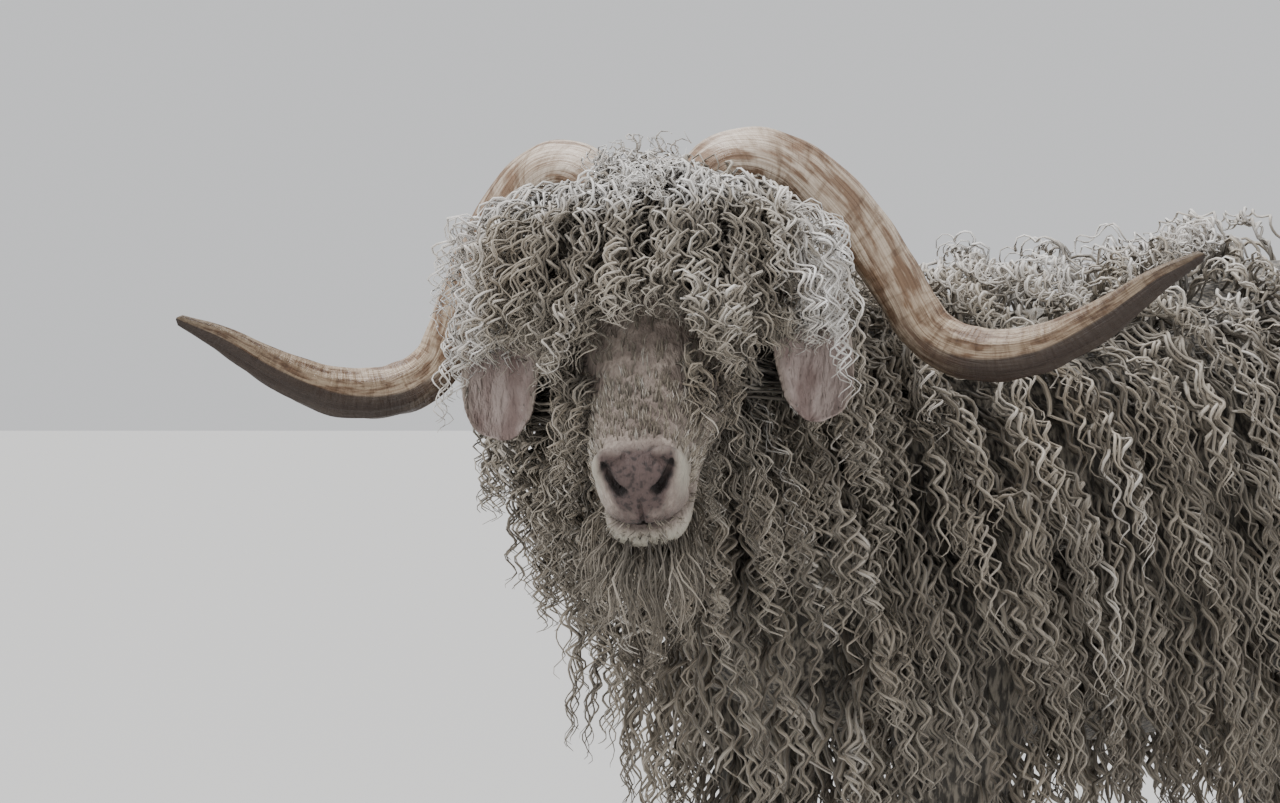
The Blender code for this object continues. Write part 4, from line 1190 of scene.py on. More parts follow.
def mopEnds(place, draw):
    # where the locks are cut or worn off: over the face, over the ears and at the sides
    spot = inHead(place)
    side = abs(spot.x)
    ragged = mop["ragged"] * (draw.random() - 0.5)
    if side < mop["faceHalf"]:
        limit = mop["fringe"]
    elif side < 0.074:
        limit = mop["fringe"] - (side - mop["faceHalf"]) * 1.1
    elif side < 0.136:
        limit = mop["overEars"] if spot.y < 0.012 else -0.13
    else:
        limit = mop["sides"]
    return spot.z < limit + ragged


def cheekLie(root, facing):
    return hanging(0.0, 0.8)(root, facing) + facing * 0.2


def beardLie(root, facing):
    spot = inHead(root)
    return headMatrix.to_3x3() @ Vector((spot.x * 16.0, -0.10, -1.0))


def templeLie(root, facing):
    # in over the sides of the bridge, and down
    spot = inHead(root)
    return headMatrix.to_3x3() @ Vector((-0.55 * math.copysign(1, spot.x), -0.6, -1.0))


woolKinds = {
    "flank": {
        "length": 0.150,
        "lengthVary": 0.26,
        "lift": 0.75,
        "droop": 0.20,
        "rise": 0.066,
        "riseLow": 0.35,
        "riseRate": 2.4,
        "sway": 0.50,
        "lie": hanging(0.14, 1.1),
        "guideSteps": 9,
        "strands": 5,
        "points": 32,
        "wavelength": 0.0245,
        "amplitude": 0.0040,
        "roundness": 0.9,
        "loose": 0.34,
        "spread": 0.014,
        "tipSpread": 0.7,
        "point": 0.80,
        "width": 0.0016,
        "flat": 0.7,
        "snap": 0.009,
        "shortest": 0.02,
        "wander": 1.0,
        "stray": 0.005,
        "formed": True,
    },
}


def addKind(name, base, **changes):
    woolKinds[name] = {**woolKinds[base], **changes}


addKind(
    "back", "flank", length=0.085, rise=0.054, riseLow=0.5, lift=1.3, droop=0.16, wavelength=0.019,
    amplitude=0.0046, roundness=1.0, points=26, sway=0.8,
)
addKind("belly", "flank", length=0.075, rise=0.040, riseLow=0.6, points=14, width=0.0022, strands=4, lift=0.5)
addKind(
    "neck", "flank", length=0.110, rise=0.062, lie=hanging(0.05, 1.0), wavelength=0.0185, amplitude=0.0046,
    roundness=1.0, points=31, spread=0.011, loose=0.24, strands=4, width=0.0016, sway=0.6,
)
addKind(
    "mop", "flank", length=0.125, lengthVary=0.22, rise=0.066, riseLow=0.40, riseRate=2.6, lift=0.9,
    droop=0.24,
    sway=0.60, lie=mopLie, riseAt=mopRise, within=mopWithin, ends=mopEnds, wavelength=0.0160,
    amplitude=0.0044,
    roundness=1.0, points=33, spread=0.0085, loose=0.24, tipSpread=0.9, width=0.0011, strands=4,
    guideSteps=14,
)
addKind(
    "cheek", "mop", length=0.062, rise=0.020, riseLow=0.3, lift=1.0, points=20, lie=cheekLie, guideSteps=8,
    amplitude=0.0040, riseAt=None, ends=None, within=behindEars,
)
addKind(
    "jowl", "cheek", length=0.130, rise=0.066, riseLow=0.35, points=31, lift=1.1, droop=0.16, guideSteps=10,
    sway=0.8,
)
addKind(
    "temple", "cheek", length=0.055, rise=0.014, riseLow=0.4, points=18, lift=0.8, width=0.0010,
    lie=templeLie,
)
addKind("tuft", "cheek", length=0.036, rise=0.020, points=16, lift=1.6, droop=0.05, width=0.0009, sway=1.2)
addKind("shoulder", "flank", length=0.110, rise=0.036, points=28, snap=0.012)
addKind(
    "leg", "flank", length=0.060, rise=0.015, riseLow=0.4, wavelength=0.018, amplitude=0.0024, points=12,
    spread=0.007, strands=4, width=0.0017, sway=0.3, guideSteps=6, shortest=0.01,
)
addKind(
    "shank", "leg", length=0.020, rise=0.0035, points=4, width=0.0011, amplitude=0.0006, lift=0.30,
    spread=0.005,
)
addKind(
    "tail", "leg", length=0.070, rise=0.020, lie=lambda root, facing: Vector((0, 0.5, -0.8)), points=16,
    amplitude=0.003, lift=0.4, width=0.0013,
)
addKind(
    "under", "flank", length=0.080, rise=0.034, riseLow=0.3, points=13, strands=3, width=0.0026, flat=0.6,
    spread=0.017, amplitude=0.005, wavelength=0.030, guideSteps=6, tipSpread=1.2,
)
addKind(
    "beard", "leg", length=0.078, lengthVary=0.35, lift=0.35, droop=0.05, rise=0.002, lie=beardLie, points=10,
    wavelength=0.070, amplitude=0.0022, roundness=0.6, spread=0.004, tipSpread=2.6, width=0.00065, sway=0.55,
    guideSteps=8, stray=0.008,
)
addKind(
    "facial", "leg", length=0.011, lengthVary=0.3, lift=0.28, droop=0.0, rise=0.0012, points=3, spread=0.0030,
    amplitude=0.0001, width=0.00045, sway=0.22, stray=0.0012, wander=0.3, guideSteps=4, shortest=0.003,
    snap=0.006, tipSpread=1.2,
)

torsoLoft = torsoRings(smoothRows(body["torso"], 34), 32)
neckLoft = neckRings(smoothRows(body["neck"][1:], 14), 24)
moundLoft = moundRings(smoothRows(body["woolMound"], 16), 24)
skullLoft = headRings("skull", 30, 28)
muzzleLoft = headRings("muzzle", 24, 32, 0.78)
jawLoft = headRings("jaw", 18, 24, 0.80)
legLofts = {
    (name, side): legRings(smoothRows(body[name], 40), side, 18)
    for name in ("frontLeg", "hindLeg") for side in (1, -1)
}


def loftTree(lofts):
    # a search tree over lofted forms, each with its faces turned outwards
    corners, faces = [], []
    for rings in lofts:
        first, sides, half = len(corners), len(rings[0]), len(rings) // 2
        corners.extend(point for ring in rings for point in ring)
        middle = sum(rings[half], Vector()) / sides
        low, high = rings[half], rings[half + 1]
        outward = (high[0] - low[0]).cross(low[1] - low[0]).dot(low[0] - middle) > 0
        for row in range(len(rings) - 1):
            for edge in range(sides):
                after = (edge + 1) % sides
                a, b = first + row * sides, first + (row + 1) * sides
                face = (a + edge, b + edge, b + after, a + after)
                faces.append(face if outward else face[::-1])
    return BVHTree.FromPolygons(corners, faces)


hornTree = treeOf(horns.values())
skinTree = treeOf([skin])
earTree = loftTree([earRings(1), earRings(-1)])
headLofts = [moundLoft, skullLoft, muzzleLoft]
formTree = loftTree([torsoLoft, neckLoft] + headLofts + [tailRings()] + list(legLofts.values()))
sideBlocks = [(hornTree, 0.006)]
headBlocks = [(hornTree, 0.005), (earTree, 0.004)]
print("stage: search trees ready")


# shorter guides get a smaller part of the points: from and up to a share of the full length, and the part
pointShares = ((0, 0.45, 0.40), (0.45, 0.65, 0.55), (0.65, 0.85, 0.74), (0.85, 1.05, 0.92), (1.05, 9, 1.10))


def growWool(
    name, rings, count, kindName, tone, tile, seed, keep=None, blocks=(), slotName="fleece",
    material=woolMaterial,
    **changes,
):
    draw = np.random.default_rng(seed)
    kind = {**woolKinds[kindName], **changes}
    grown = growGuides(seedsOn(rings, count, draw, keep), kind, blocks, draw)
    share = np.linalg.norm(np.diff(grown[0], axis=1), axis=2).sum(axis=1) / kind["length"]
    groups = []
    for low, high, part in pointShares:
        chosen = (share > low) & (share <= high)
        if chosen.any():
            shorter = {**kind, "points": max(3, round(kind["points"] * part))}
            strands = combStrands([rows[chosen] for rows in grown], shorter, draw)
            groups.append((strands, woolShade(strands, tone)))
    strandPieces(name, groups, tile, material, slotName)


def evenTone(level):
    return lambda line, roots: level + 0 * line[..., 2]


def flankToneAndToplight(line, roots):
    # greyer low down; bright along the top of the back, partly cleaner wool and partly painted top light
    high = np.clip((line[..., 2] - 0.70) / 0.07, 0, 1)
    low = np.clip((0.55 - line[..., 2]) / 0.25, 0, 1)
    return 0.27 + 0.73 * high - 0.12 * low


def mopToneAndRimLight(line, roots):
    # bright at the rim and on the crown of the mop, partly cleaner wool and partly painted top and rim light;
    # dull over the brow
    seen = inFrame(line.reshape(-1, 3), headMatrix).reshape(line.shape)
    rim = np.clip((np.abs(seen[..., 0]) - 0.085) / 0.045, 0, 1) * np.clip((seen[..., 2] + 0.10) / 0.08, 0, 1)
    crown = np.clip((seen[..., 2] - 0.052) / 0.022, 0, 1)
    return 0.31 + 0.84 * np.clip(rim + crown, 0, 1)


def seenBySkull(places, facing):
    # places as the skull sees them, and how far each one faces along the skull's own axes
    return inFrame(places, skullMatrix), facing @ np.array(skullMatrix.to_3x3())


def sideOf(side):
    def keep(places, facing):
        return (places[:, 0] * side > 0) & (facing[:, 2] <= 0.86) & (facing[:, 2] >= -0.45)

    return keep


def between(low, high):
    return lambda places, facing: (places[:, 2] > low) & (places[:, 2] <= high)


def upper(places, facing):
    return facing[:, 2] > 0.70


def lower(places, facing):
    return facing[:, 2] < -0.45


def breast(places, facing):
    return (places[:, 1] < -0.10) & (places[:, 2] > 0.45)


def poll(places, facing):
    spot = inFrame(places, headMatrix)
    return (np.abs(spot[:, 0]) < 0.020) & (spot[:, 2] > 0.060)


def cheeks(places, facing):
    spot, turned = seenBySkull(places, facing)
    high = spot[:, 2] > 0.004
    sideOn = np.abs(turned[:, 0]) > np.where(high, 0.80, 0.45)
    under = turned[:, 2] < -0.5
    return (spot[:, 1] < 0.02) & (spot[:, 1] > -0.128) & (sideOn | under)


def jowls(places, facing):
    spot, turned = seenBySkull(places, facing)
    sideOrUnder = (np.abs(turned[:, 0]) > 0.35) | (turned[:, 2] < -0.3)
    return (spot[:, 1] > -0.085) & (spot[:, 2] < 0.012) & sideOrUnder


def temples(places, facing):
    # beside the bridge, above the corner of the mouth
    spot, turned = seenBySkull(places, facing)
    side = np.abs(turned[:, 0])
    sideOn = (side > 0.42) & (side < 0.97)
    return (spot[:, 1] < -0.050) & (spot[:, 1] > -0.120) & (spot[:, 2] > -0.010) & sideOn


def neckRise(root, facing):
    # fuller towards the head and on the sides
    return 1.0 + 0.45 * min(max((-0.30 - root.y) / 0.14, 0), 1)


def onRight(places, facing):
    # the goat's right side of the neck, from which the head is turned away
    return (facing @ np.array((-0.64, -0.77, 0.0)) > 0.25) & (places[:, 1] < -0.30)


def underChin(places, facing):
    return facing[:, 2] < -0.3


def hindmost(places, facing):
    return places[:, 1] > 0.452


def facialPlaces(places, facing):
    spot = inFrame(places, skullMatrix)
    pad = (spot[:, 1] < -0.190) & (spot[:, 2] > -0.046) & (spot[:, 2] < 0.002)
    return (spot[:, 1] < -0.055) & ~pad


# where each part's strands lie on the unwrap: the corner that it starts from, then its width and height
tiles = {
    "torso": (0.01, 0.01, 0.45, 0.45),
    "neck": (0.51, 0.01, 0.23, 0.23),
    "mop": (0.76, 0.01, 0.22, 0.23),
    "face": (0.51, 0.52, 0.3, 0.3),
    "ears": (0.82, 0.76, 0.15, 0.1),
    "tail": (0.82, 0.52, 0.15, 0.2),
}
shortHair = {"slotName": "short_hair", "material": hairMaterial}
backUp, backDown = lyingInHead(0, 0.4, 1.0), lyingInHead(0, 0.5, -1.0)


def growBody():
    tile = tiles["torso"]
    # the under-layer is kept dark partly as painted shade in the gaps between the locks
    growWool("underBody", torsoLoft, 330, "under", evenTone(0.16), tile, 21, snap=0.04)
    growWool("fleeceLeft", torsoLoft, 268, "flank", flankToneAndToplight, tile, 22, sideOf(1), sideBlocks)
    growWool("fleeceRight", torsoLoft, 138, "flank", flankToneAndToplight, tile, 23, sideOf(-1), sideBlocks)
    growWool("fleeceBack", torsoLoft, 155, "back", flankToneAndToplight, tile, 24, upper, sideBlocks)
    growWool("fleeceFront", torsoLoft, 52, "flank", flankToneAndToplight, tile, 35, breast, sideBlocks, snap=0.04)
    growWool("fleeceBelly", torsoLoft, 62, "belly", flankToneAndToplight, tile, 25, lower)


def growNeck():
    tile, rules = tiles["neck"], {"riseAt": neckRise, "within": behindEars}
    # the under-layer is kept dark partly as painted shade in the gaps between the locks
    growWool("underNeck", neckLoft, 100, "under", evenTone(0.16), tile, 26)
    growWool("fleeceNeck", neckLoft, 185, "neck", flankToneAndToplight, tile, 27, None, headBlocks, **rules)
    rules["length"] = 0.095
    growWool("maneRight", neckLoft, 112, "neck", flankToneAndToplight, tile, 34, onRight, headBlocks, **rules)


def growHead():
    tile = tiles["mop"]
    # the under-layer is kept dark partly as painted shade in the gaps between the locks
    growWool(
        "underMop", moundLoft, 120, "under", evenTone(0.12), tile, 28, None, headBlocks, length=0.035,
        rise=0.010,
        width=0.0015, lie=mopLie, within=mopWithin, ends=mopEnds,
    )
    growWool("mop", moundLoft, 400, "mop", mopToneAndRimLight, tile, 29, None, headBlocks)
    growWool("cheeks", skullLoft, 95, "cheek", evenTone(0.24), tile, 30, cheeks, headBlocks)
    growWool("jowls", skullLoft, 142, "jowl", evenTone(0.27), tile, 31, jowls, headBlocks)
    growWool("temples", skullLoft, 90, "temple", evenTone(0.24), tile, 32, temples, headBlocks)
    # the tuft on the poll is near white: cleaner wool, and painted top light
    growWool("pollTuft", moundLoft, 60, "tuft", evenTone(0.95), tile, 33, poll, headBlocks)


def growFace():
    tile, hair, face = tiles["face"], shortHair, facialPlaces
    growWool("beard", jawLoft, 70, "beard", evenTone(0.18), tile, 51, underChin, **hair)
    growWool("noseHair", muzzleLoft, 400, "facial", evenTone(0.42), tile, 52, face, lie=backUp, **hair)
    growWool("bridgeHair", skullLoft, 400, "facial", evenTone(0.36), tile, 53, face, lie=backUp, **hair)
    growWool("chinHair", jawLoft, 260, "facial", evenTone(0.45), tile, 54, lie=backDown, **hair)
    for side, word in ((1, "Left"), (-1, "Right")):
        growWool(
            f"earHair{word}", earRings(side), 220, "facial", evenTone(0.62), tiles["ears"], 57 + side,
            lie=lyingInHead(0, 0, -1.0), rise=0.0006, length=0.008, formed=False, **hair,
        )


def growLegs():
    # from the top of each leg down: the fleece, the wool of the thigh, and the short hair of the shank
    for (name, side), loft in legLofts.items():
        word, isFront = ("Left" if side > 0 else "Right"), name == "frontLeg"
        place = (2 if side > 0 else 0) + (0 if isFront else 1)
        tile, seed = (0.01 + 0.24 * place, 0.76, 0.20, 0.2), 60 + 5 * place
        top, thigh, shank = between(0.36, 9), between(0.20, 0.37), between(0.055, 0.215)
        locks = 50 if isFront else 32
        growWool(f"{name}Shoulder{word}", loft, locks, "shoulder", flankToneAndToplight, tile, seed, top, sideBlocks)
        growWool(f"{name}Wool{word}", loft, 60, "leg", evenTone(0.22), tile, seed + 1, thigh)
        growWool(f"{name}Hair{word}", loft, 200, "shank", evenTone(0.36), tile, seed + 2, shank, **shortHair)


print("stage: wool")
growBody()
growNeck()
growHead()
growFace()
growWool("tailWool", tailRings(), 60, "tail", evenTone(0.62), tiles["tail"], 55, hindmost)
growLegs()


# skin material
skinLook = {
    # near black: painted shade in the gaps of the wool that is painted on the skin under the coat
    "shadedUnderWool": (0.036, 0.031, 0.025),
    "shortFur": (0.40, 0.335, 0.285),
    "furShade": (0.185, 0.143, 0.122),
    "nose": (0.092, 0.061, 0.055),
    "noseShade": (0.034, 0.023, 0.021),
    "chin": (0.36, 0.335, 0.275),
    "earInside": (0.37, 0.30, 0.275),
    # near black: painted shade in the nostrils and along the mouth
    "slotShade": (0.012, 0.008, 0.007),
    "matted": (0.20, 0.175, 0.14),
    "veins": (0.21, 0.150, 0.135),
    # spots inside the nostrils that get painted shade: x, y, z and size, in the skull's frame
    "nostrilShadeSpots": (
        (0.0222, -0.2030, -0.0070, 0.0028), (0.0190, -0.2070, -0.0130, 0.0036),
        (0.0150, -0.2090, -0.0185, 0.0046),
        (0.0112, -0.2095, -0.0215, 0.0050),
    ),
}


def soft(value, low, high):
    # 0 up to the low value, 1 from the high one, even between them
    return np.clip((value - low) / (high - low), 0, 1)


def nosePlaces(across, along, up):
    # the bare nose: its pad, which narrows downwards, the lip's edge and the groove
    narrow = 0.0235 - 0.012 * (1 - soft(up, -0.036, -0.010))
    pad = soft(along, 0.190, 0.199) * soft(up, -0.040, -0.030) * (1 - soft(up, 0.000, 0.006))
    pad = pad * (1 - soft(across, narrow, narrow + 0.005))
    lip = soft(along, 0.172, 0.196) * soft(up, -0.0585, -0.054) * (1 - soft(up, -0.044, -0.026))
    lip = lip * (1 - soft(across, 0.016, 0.031)) * 0.85
    groove = soft(along, 0.200, 0.206) * (1 - soft(across, 0.0016, 0.0045))
    groove = groove * soft(up, -0.052, -0.046) * (1 - soft(up, -0.030, -0.024)) * 0.8
    return np.clip(pad + lip + groove, 0, 1)


def slotShadePlaces(head, across, along, up):
    # painted shade in the nostrils' insides and along the line of the mouth
    shadedSlots = np.zeros(len(head))
    for side in (1, -1):
        for spot in skinLook["nostrilShadeSpots"]:
            away = np.linalg.norm(head - np.array(mirrored(spot, side)), axis=1)
            shadedSlots = np.maximum(shadedSlots, 1 - soft(away, spot[3] * 0.80, spot[3] * 1.55))
    mouth = -0.0505 + 0.004 * soft(-along, -0.180, -0.150) + 0.0015 * (1 - soft(across, 0.0, 0.012))
    # a painted shade line along the mouth
    line = soft(along, 0.146, 0.156) * (1 - soft(np.abs(up - mouth), 0.0014, 0.0034)) * 0.92
    return np.maximum(shadedSlots, line)


def earPlaces(points):
    # the bare hollow of each ear, short of its edges
    inside = np.zeros(len(points))
    for side in (1, -1):
        for place, _, front, across, half in earFrames(side)[5:]:
            away = points - np.array(place)
            reach = np.linalg.norm(away, axis=1)
            cup = body["earCup"] * half * ((away @ np.array(across) / half) ** 2 - 0.4)
            near = (reach < max(half, 0.012)) & (away @ np.array(front) > cup - 0.0022)
            inside = np.maximum(inside, near * (1 - soft(reach, half * 0.75, half * 0.95)))
    return inside


def paintSkin(piece):
    # masks of place: short fur, nose and chin, then the ear's inside, the painted shade in the nostrils and
    # the mouth, and the legs
    points = pointsOf(piece)
    head, upright = inFrame(points, skullMatrix), inFrame(points, headMatrix)
    across, along, up = np.abs(head[:, 0]), -head[:, 1], head[:, 2]
    chin = soft(along, 0.120, 0.185) * (1 - soft(up, -0.064, -0.055))
    rim = soft(along, 0.165, 0.198) * soft(across, 0.0225, 0.030) * soft(up, -0.045, -0.02)
    isEar = (np.abs(upright[:, 0]) > 0.072) & (upright[:, 2] < 0.035)
    isEar &= (upright[:, 1] < 0.035) & (np.linalg.norm(upright, axis=1) < 0.16)
    inFace = soft(along, 0.045, 0.075) * (np.linalg.norm(head, axis=1) < 0.26)
    onLeg = 1 - soft(points[:, 2], 0.20, 0.27)
    furred = np.maximum(np.maximum(inFace, isEar), onLeg)
    pale = np.clip(chin + 0.9 * rim, 0, 1)
    paintPoints(piece, "skinPlace", np.stack([furred, nosePlaces(across, along, up), pale], axis=1))
    shadedSlots = slotShadePlaces(head, across, along, up)
    paintPoints(piece, "skinMarksAndShade", np.stack([earPlaces(points) * isEar, shadedSlots, 0.5 * onLeg], axis=1))


def makeSkin():
    material, nodes, links, shader = newMaterial("goatSkin", 0.60, 0.35, 0.06)
    furred, nosed, pale = partsOf(nodes, links, maskOf(nodes, "skinPlace")["Color"])[:3]
    inEar, shadedSlots = partsOf(nodes, links, maskOf(nodes, "skinMarksAndShade")["Color"])[:2]
    look = {name: (*colour, 1.0) for name, colour in skinLook.items() if name != "nostrilShadeSpots"}

    def faded(mask, *stops):
        return rampOf(nodes, links, mask, greys(*stops))

    def mix(*given):
        return mixColour(nodes, links, *given)

    def grain(scale, detail, *stretch):
        return objectNoise(nodes, links, scale, detail, stretch or (1, 1, 1))

    fine, hairs, matted = grain(42.0, 6.0), grain(420.0, 3.0, 1, 1, 0.28), grain(240.0, 3.0, 1, 1, 0.34)
    pores, freckles, veins = grain(800.0, 3.0), grain(260.0, 3.0), grain(60.0, 5.0, 1, 1, 0.35)
    fur = mix(faded(fine, (0.36, 0), (0.64, 1)), look["furShade"], look["shortFur"])
    fur = mix(faded(hairs, (0.40, 0), (0.60, 0.6)), fur, look["furShade"])
    fur = mix(pale, fur, look["chin"])
    # the skin under the coat: matted wool, with painted shade in its gaps
    underCoatWithShade = mix(faded(matted, (0.44, 0), (0.60, 1)), look["shadedUnderWool"], look["matted"])
    colour = mix(furred, underCoatWithShade, fur)
    nose = mix(faded(freckles, (0.38, 1), (0.46, 0.25), (0.62, 0)), look["nose"], look["noseShade"])
    colour = mix(nosed, colour, nose)
    ear = mix(faded(veins, (0.42, 1), (0.60, 0)), look["earInside"], look["veins"])
    colour = mix(inEar, colour, ear)
    # painted shade over the nostrils' insides and the mouth's line
    links.new(mix(shadedSlots, colour, look["slotShade"]), shader.inputs["Base Color"])
    bump = bumpInto(nodes, links, shader, matted, 0.8, 0.005)
    bump = bumpInto(nodes, links, shader, hairs, 0.55, 0.0014, bump)
    bump = bumpInto(nodes, links, shader, pores, 0.35, 0.0007, bump)
    bumpInto(nodes, links, shader, freckles, 0.25, 0.0012, bump)
    return material


paintSkin(skin)
limbs = [f"{end}_{word}" for end in ("front", "hind") for word in ("left", "right")]
finishPiece(
    skin, "short_hair", makeSkin(),
    ["torso", "neck", "head", "tail", "muzzle", "lower_jaw", "ear_left", "ear_right"]
    + [f"{name}_{limb}" for name in ("leg", "shank") for limb in limbs],
)


# horn material
hornLook = {
    "along": (
        (0.0, (0.64, 0.55, 0.46)), (0.25, (0.52, 0.43, 0.34)), (0.50, (0.44, 0.345, 0.25)),
        (0.75, (0.34, 0.255, 0.175)), (1.0, (0.19, 0.145, 0.098)),
    ),
    "blotch": {
        "Stretch": (16.0, 5.0, 5.0), "Detail": 5.0, "From": 0.46, "To": 0.58, "Tint": (0.42, 0.32, 0.25, 1),
    },
    "streak": {
        "Stretch": (4.0, 30.0, 30.0), "Detail": 6.0, "From": 0.34, "To": 0.56, "Start": 0.75, "End": 0.0,
        "Tint": (0.42, 0.32, 0.24, 1),
    },
    "ridge": {
        "Stretch": (110.0, 1.5, 1.5), "Detail": 3.0, "From": 0.34, "To": 0.50, "Start": 0.55, "End": 0.0,
        "Tint": (0.40, 0.31, 0.22, 1),
    },
    "darkBand": (0.026, 0.015, 0.010, 1),
}


def makeHorn():
    material, nodes, links, shader = newMaterial("hornSheath", 0.46, 0.42)
    mask = maskOf(nodes, "hornPlace")
    outwards, _, under = partsOf(nodes, links, mask["Color"])[:3]
    colour, grains = rampOf(nodes, links, outwards, hornLook["along"]), {}
    for stain in ("blotch", "streak", "ridge"):
        made = placeGroup(nodes, links, stainGroup, Place=mask["Vector"], Colour=colour, **hornLook[stain])
        colour, grains[stain] = made["Colour"], made["Mask"]
    # the dark band along the lower side of the outer half
    below = rampOf(nodes, links, under, greys((0.0, 0.97), (0.17, 0.92), (0.23, 0.0)))
    outer = rampOf(nodes, links, outwards, greys((0.38, 0.0), (0.60, 1.0)))
    dark = addNode(nodes, "ShaderNodeMath", operation="MULTIPLY")
    links.new(below, dark.inputs[0])
    links.new(outer, dark.inputs[1])
    banded = mixColour(nodes, links, dark.outputs[0], colour, hornLook["darkBand"])
    links.new(banded, shader.inputs["Base Color"])
    bump = bumpInto(nodes, links, shader, grains["streak"], 0.7, 0.0022)
    bumpInto(nodes, links, shader, grains["ridge"], 0.6, 0.0024, bump)
    return material


hornMaterial = makeHorn()
for side, word in ((1, "left"), (-1, "right")):
    finishPiece(horns[side], "horn", hornMaterial, [f"horn_{word}"])


# eyes
eye = {
    "clearReach": 0.0085,
    "clearRise": 0.0006,
    # from the middle of the iris out to the white, in shares of the ball's width
    "iris": (
        (0.0, (0.50, 0.34, 0.10)), (0.20, (0.46, 0.29, 0.08)), (0.31, (0.18, 0.10, 0.03)),
        (0.36, (0.07, 0.045, 0.03)), (0.40, (0.40, 0.33, 0.27)),
    ),
    "pupil": (0.006, 0.006, 0.010, 1),
    "pupilFlatness": 2.9,
    "pupilEdge": (0.175, 0.205),
}


def buildEye(side, word):
    # a ball whose front is the clear eye, with its slit pupil laid level
    centre = skullMatrix @ mirrored(carriage["eyePlace"], side)
    gaze, along, up = [np.array(skullMatrix.to_3x3() @ axis) for axis in eyeAxes(side)]
    ball = ballAt(f"eye_{word}_ball", centre, carriage["eyeRadius"])
    points = pointsOf(ball)
    away = points - np.array(centre)
    front = away @ gaze
    radial = np.linalg.norm(away - front[:, None] * gaze, axis=1)
    clear = (front > 0) & (radial < eye["clearReach"])
    bulge = np.where(clear, eye["clearRise"] * (1 - (radial / eye["clearReach"]) ** 2), 0.0)
    ball.data.vertices.foreach_set("co", (points + bulge[:, None] * gaze).astype(np.float32).ravel())
    applyModifier(ball, "SUBSURF", levels=2, render_levels=2)
    away = pointsOf(ball) - np.array(centre)
    values = np.stack([away @ along, away @ up, away @ gaze], axis=1) / carriage["eyeRadius"] * 0.5 + 0.5
    paintPoints(ball, "eyePlace", values)
    pickOnly(ball)
    bpy.ops.object.shade_smooth()
    return ball


def makeEye():
    material, nodes, links, shader = newMaterial("goatEye", 0.06, 0.6)
    shader.inputs["Coat Weight"].default_value = 0.8
    centred = addNode(nodes, "ShaderNodeVectorMath", operation="SUBTRACT")
    centred.inputs[1].default_value = (0.5, 0.5, 0.5)
    links.new(maskOf(nodes, "eyePlace")["Vector"], centred.inputs[0])

    def distanceOut(*stretch):
        # from the middle of the iris, over the front of the ball
        flat = addNode(nodes, "ShaderNodeVectorMath", operation="MULTIPLY")
        flat.inputs[1].default_value = stretch
        links.new(centred.outputs["Vector"], flat.inputs[0])
        size = addNode(nodes, "ShaderNodeVectorMath", operation="LENGTH")
        links.new(flat.outputs["Vector"], size.inputs[0])
        return size.outputs["Value"]

    iris = rampOf(nodes, links, distanceOut(1, 1, 0), eye["iris"])
    inner, outer = eye["pupilEdge"]
    fromSlit = distanceOut(1, eye["pupilFlatness"], 0)
    slit = rampOf(nodes, links, fromSlit, greys((0.0, 1), (inner, 1), (outer, 0)))
    links.new(mixColour(nodes, links, slit, iris, eye["pupil"]), shader.inputs["Base Color"])
    return material


print("stage: eyes and claws")
eyeMaterial = makeEye()
for side, word in ((1, "left"), (-1, "right")):
    finishPiece(buildEye(side, word), "eye", eyeMaterial, [f"eye_{word}"])


# claws
claw = {
    "outer": 0.0245,
    "inner": 0.0006,
    "height": 0.0457,
    # height in metres near the sole and in shares of the claw above it, then length and width
    "profile": (
        (0.0004, 0.94, 0.93), (0.002, 1.0, 0.99), (0.006, 1.02, 1.01), (0.25, 0.99, 1.0), (0.5, 0.93, 0.96),
        (0.8, 0.80, 0.93), (1.0, 0.74, 0.91),
    ),
    "layers": ((0.3, (0.035, 0.027, 0.02)), (0.7, (0.115, 0.088, 0.062))),
}


def buildClaw(shank, side, half, name):
    along, halfLength = shank[1:3]
    rings = []
    for level, length, width in claw["profile"]:
        height = level if level < 0.01 else level * claw["height"]
        toe = along - halfLength - 0.010 * length - (1 - level) * 0.012
        heel = along + halfLength * 0.9
        near, far = claw["inner"], claw["outer"] * width
        centre = Vector((side * carriage["legStance"] + half * (near + far) / 2, (toe + heel) / 2, height))
        deep = (heel - toe) / 2
        rings.append(ovalRing(centre, xAxis, yAxis, (far - near) / 2, deep, deep, 28, 0.72))
    made = extrudeThrough(name, rings)
    applyModifier(made, "BEVEL", width=0.0008, segments=2, limit_method="ANGLE", angle_limit=math.radians(50))
    pickOnly(made)
    bpy.ops.object.shade_smooth_by_angle(angle=math.radians(40))
    return made


def makeHoof():
    material, nodes, links, shader = newMaterial("hoofHorn", 0.5, 0.4)
    layers = objectNoise(nodes, links, 60.0, 3.0, (0.3, 0.3, 6.0))
    links.new(rampOf(nodes, links, layers, claw["layers"]), shader.inputs["Base Color"])
    bumpInto(nodes, links, shader, layers, 0.4, 0.001)
    return material


hoofMaterial = makeHoof()
for end, shank in (("front", body["frontLeg"][-1]), ("hind", body["hindLeg"][-1])):
    for side, word in ((1, "left"), (-1, "right")):
        for half, place in ((side, "outer"), (-side, "inner")):
            node = f"claw_{end}_{word}_{place}"
            made = buildClaw(shank, side, half, f"hoof_{end}_{word}_{place}")
            finishPiece(made, "hoof", hoofMaterial, [node])


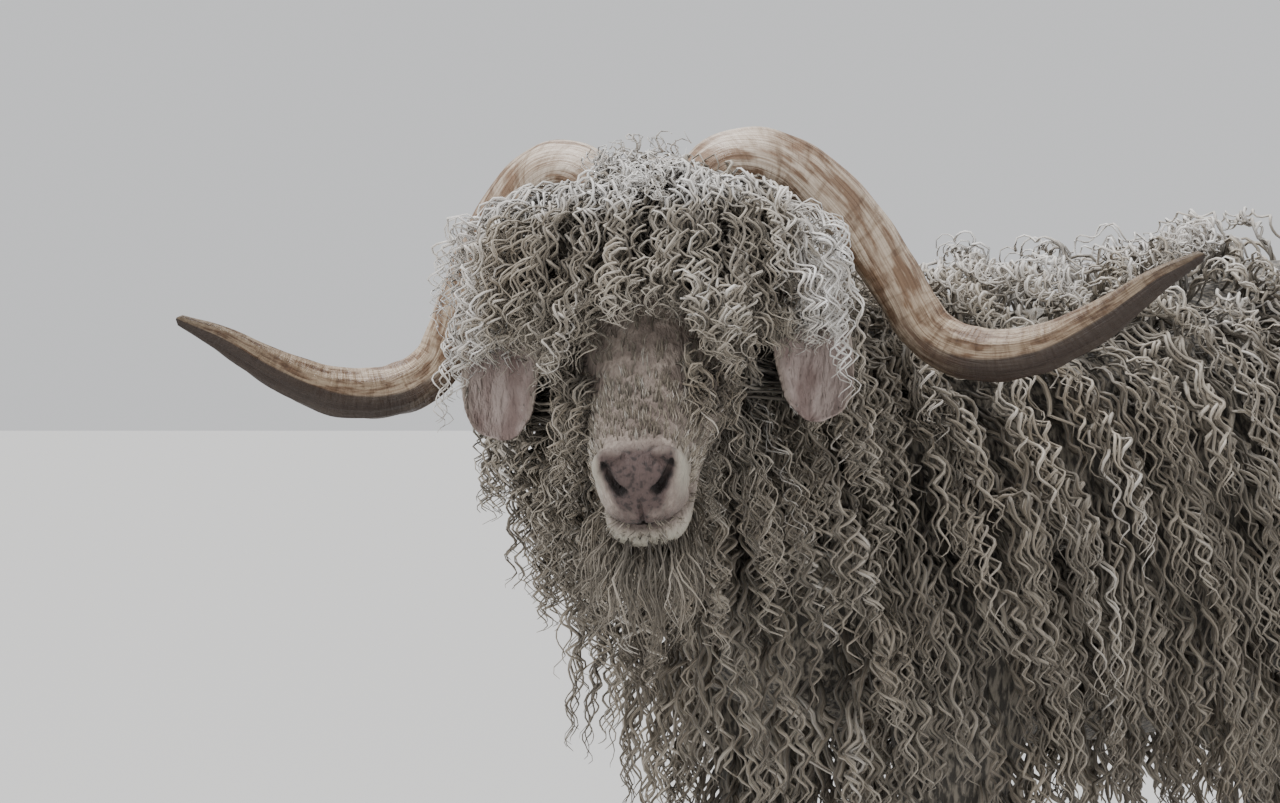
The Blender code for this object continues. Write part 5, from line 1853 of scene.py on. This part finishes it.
# floor, light and camera
stage = {
    "floorSize": 240.0,
    "floorColour": (0.53, 0.525, 0.515, 1.0),
    "skyColour": (0.97, 0.98, 1.0, 1.0),
    "skyLight": 0.80,
    "sunPower": 4.2,
    "sunSpread": 14.0,
    "keyPower": 50.0,
    "fillPower": 22.0,
    "lens": 128.6,
    "cameraPlace": (2.577, -2.607, 0.64),
    "lookedAt": (0.0, -0.1, 0.6),
}


def buildStage():
    deselectAll()
    bpy.ops.mesh.primitive_plane_add(size=stage["floorSize"], location=(0, 0, 0))
    floor = bpy.context.object
    floor.name = "floor"
    material, nodes, links, shader = newMaterial("paleFloor", 0.9, 0.2)
    shader.inputs["Base Color"].default_value = stage["floorColour"]
    setMaterial(floor, material)
    floor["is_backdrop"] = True
    world = bpy.context.scene.world or bpy.data.worlds.new("studio")
    bpy.context.scene.world = world
    world.use_nodes = True
    world.node_tree.nodes["Background"].inputs[0].default_value = stage["skyColour"]
    world.node_tree.nodes["Background"].inputs[1].default_value = stage["skyLight"]
    right, back = Vector((0.6428, 0.7660, 0)), Vector((0.7660, -0.6428, 0))
    target, spread = Vector(stage["lookedAt"]), math.radians(stage["sunSpread"])
    for name, kind, place, power, size in (
        ("topLight", "SUN", target - right * 0.5 - back * 1.1 + zAxis * 3.0, stage["sunPower"], spread),
        ("key", "AREA", target - right * 1.4 + back * 1.6 + zAxis * 2.0, stage["keyPower"], 1.8),
        ("fill", "AREA", target + right * 2.4 + back * 2.0 + zAxis * 0.8, stage["fillPower"], 2.4),
    ):
        light = bpy.data.lights.new(name, kind)
        light.energy = power
        setattr(light, "angle" if kind == "SUN" else "size", size)
        holder = bpy.data.objects.new(name, light)
        holder.location = place
        holder.rotation_euler = (place - target).to_track_quat("Z", "Y").to_euler()
        bpy.context.scene.collection.objects.link(holder)
    camera = bpy.data.cameras.new("camera")
    camera.lens = stage["lens"]
    camera.sensor_width = 36.0
    camera.clip_end = 100.0
    holder = bpy.data.objects.new("camera", camera)
    holder.location = toFrame @ Vector(stage["cameraPlace"])
    holder.rotation_euler = back.to_track_quat("Z", "Y").to_euler()
    bpy.context.scene.collection.objects.link(holder)
    bpy.context.scene.camera = holder


print("stage: floor, light and camera")
buildStage()

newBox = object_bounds()
{"cad": [list(corner) for corner in cadBox], "visual": [list(corner) for corner in newBox]}
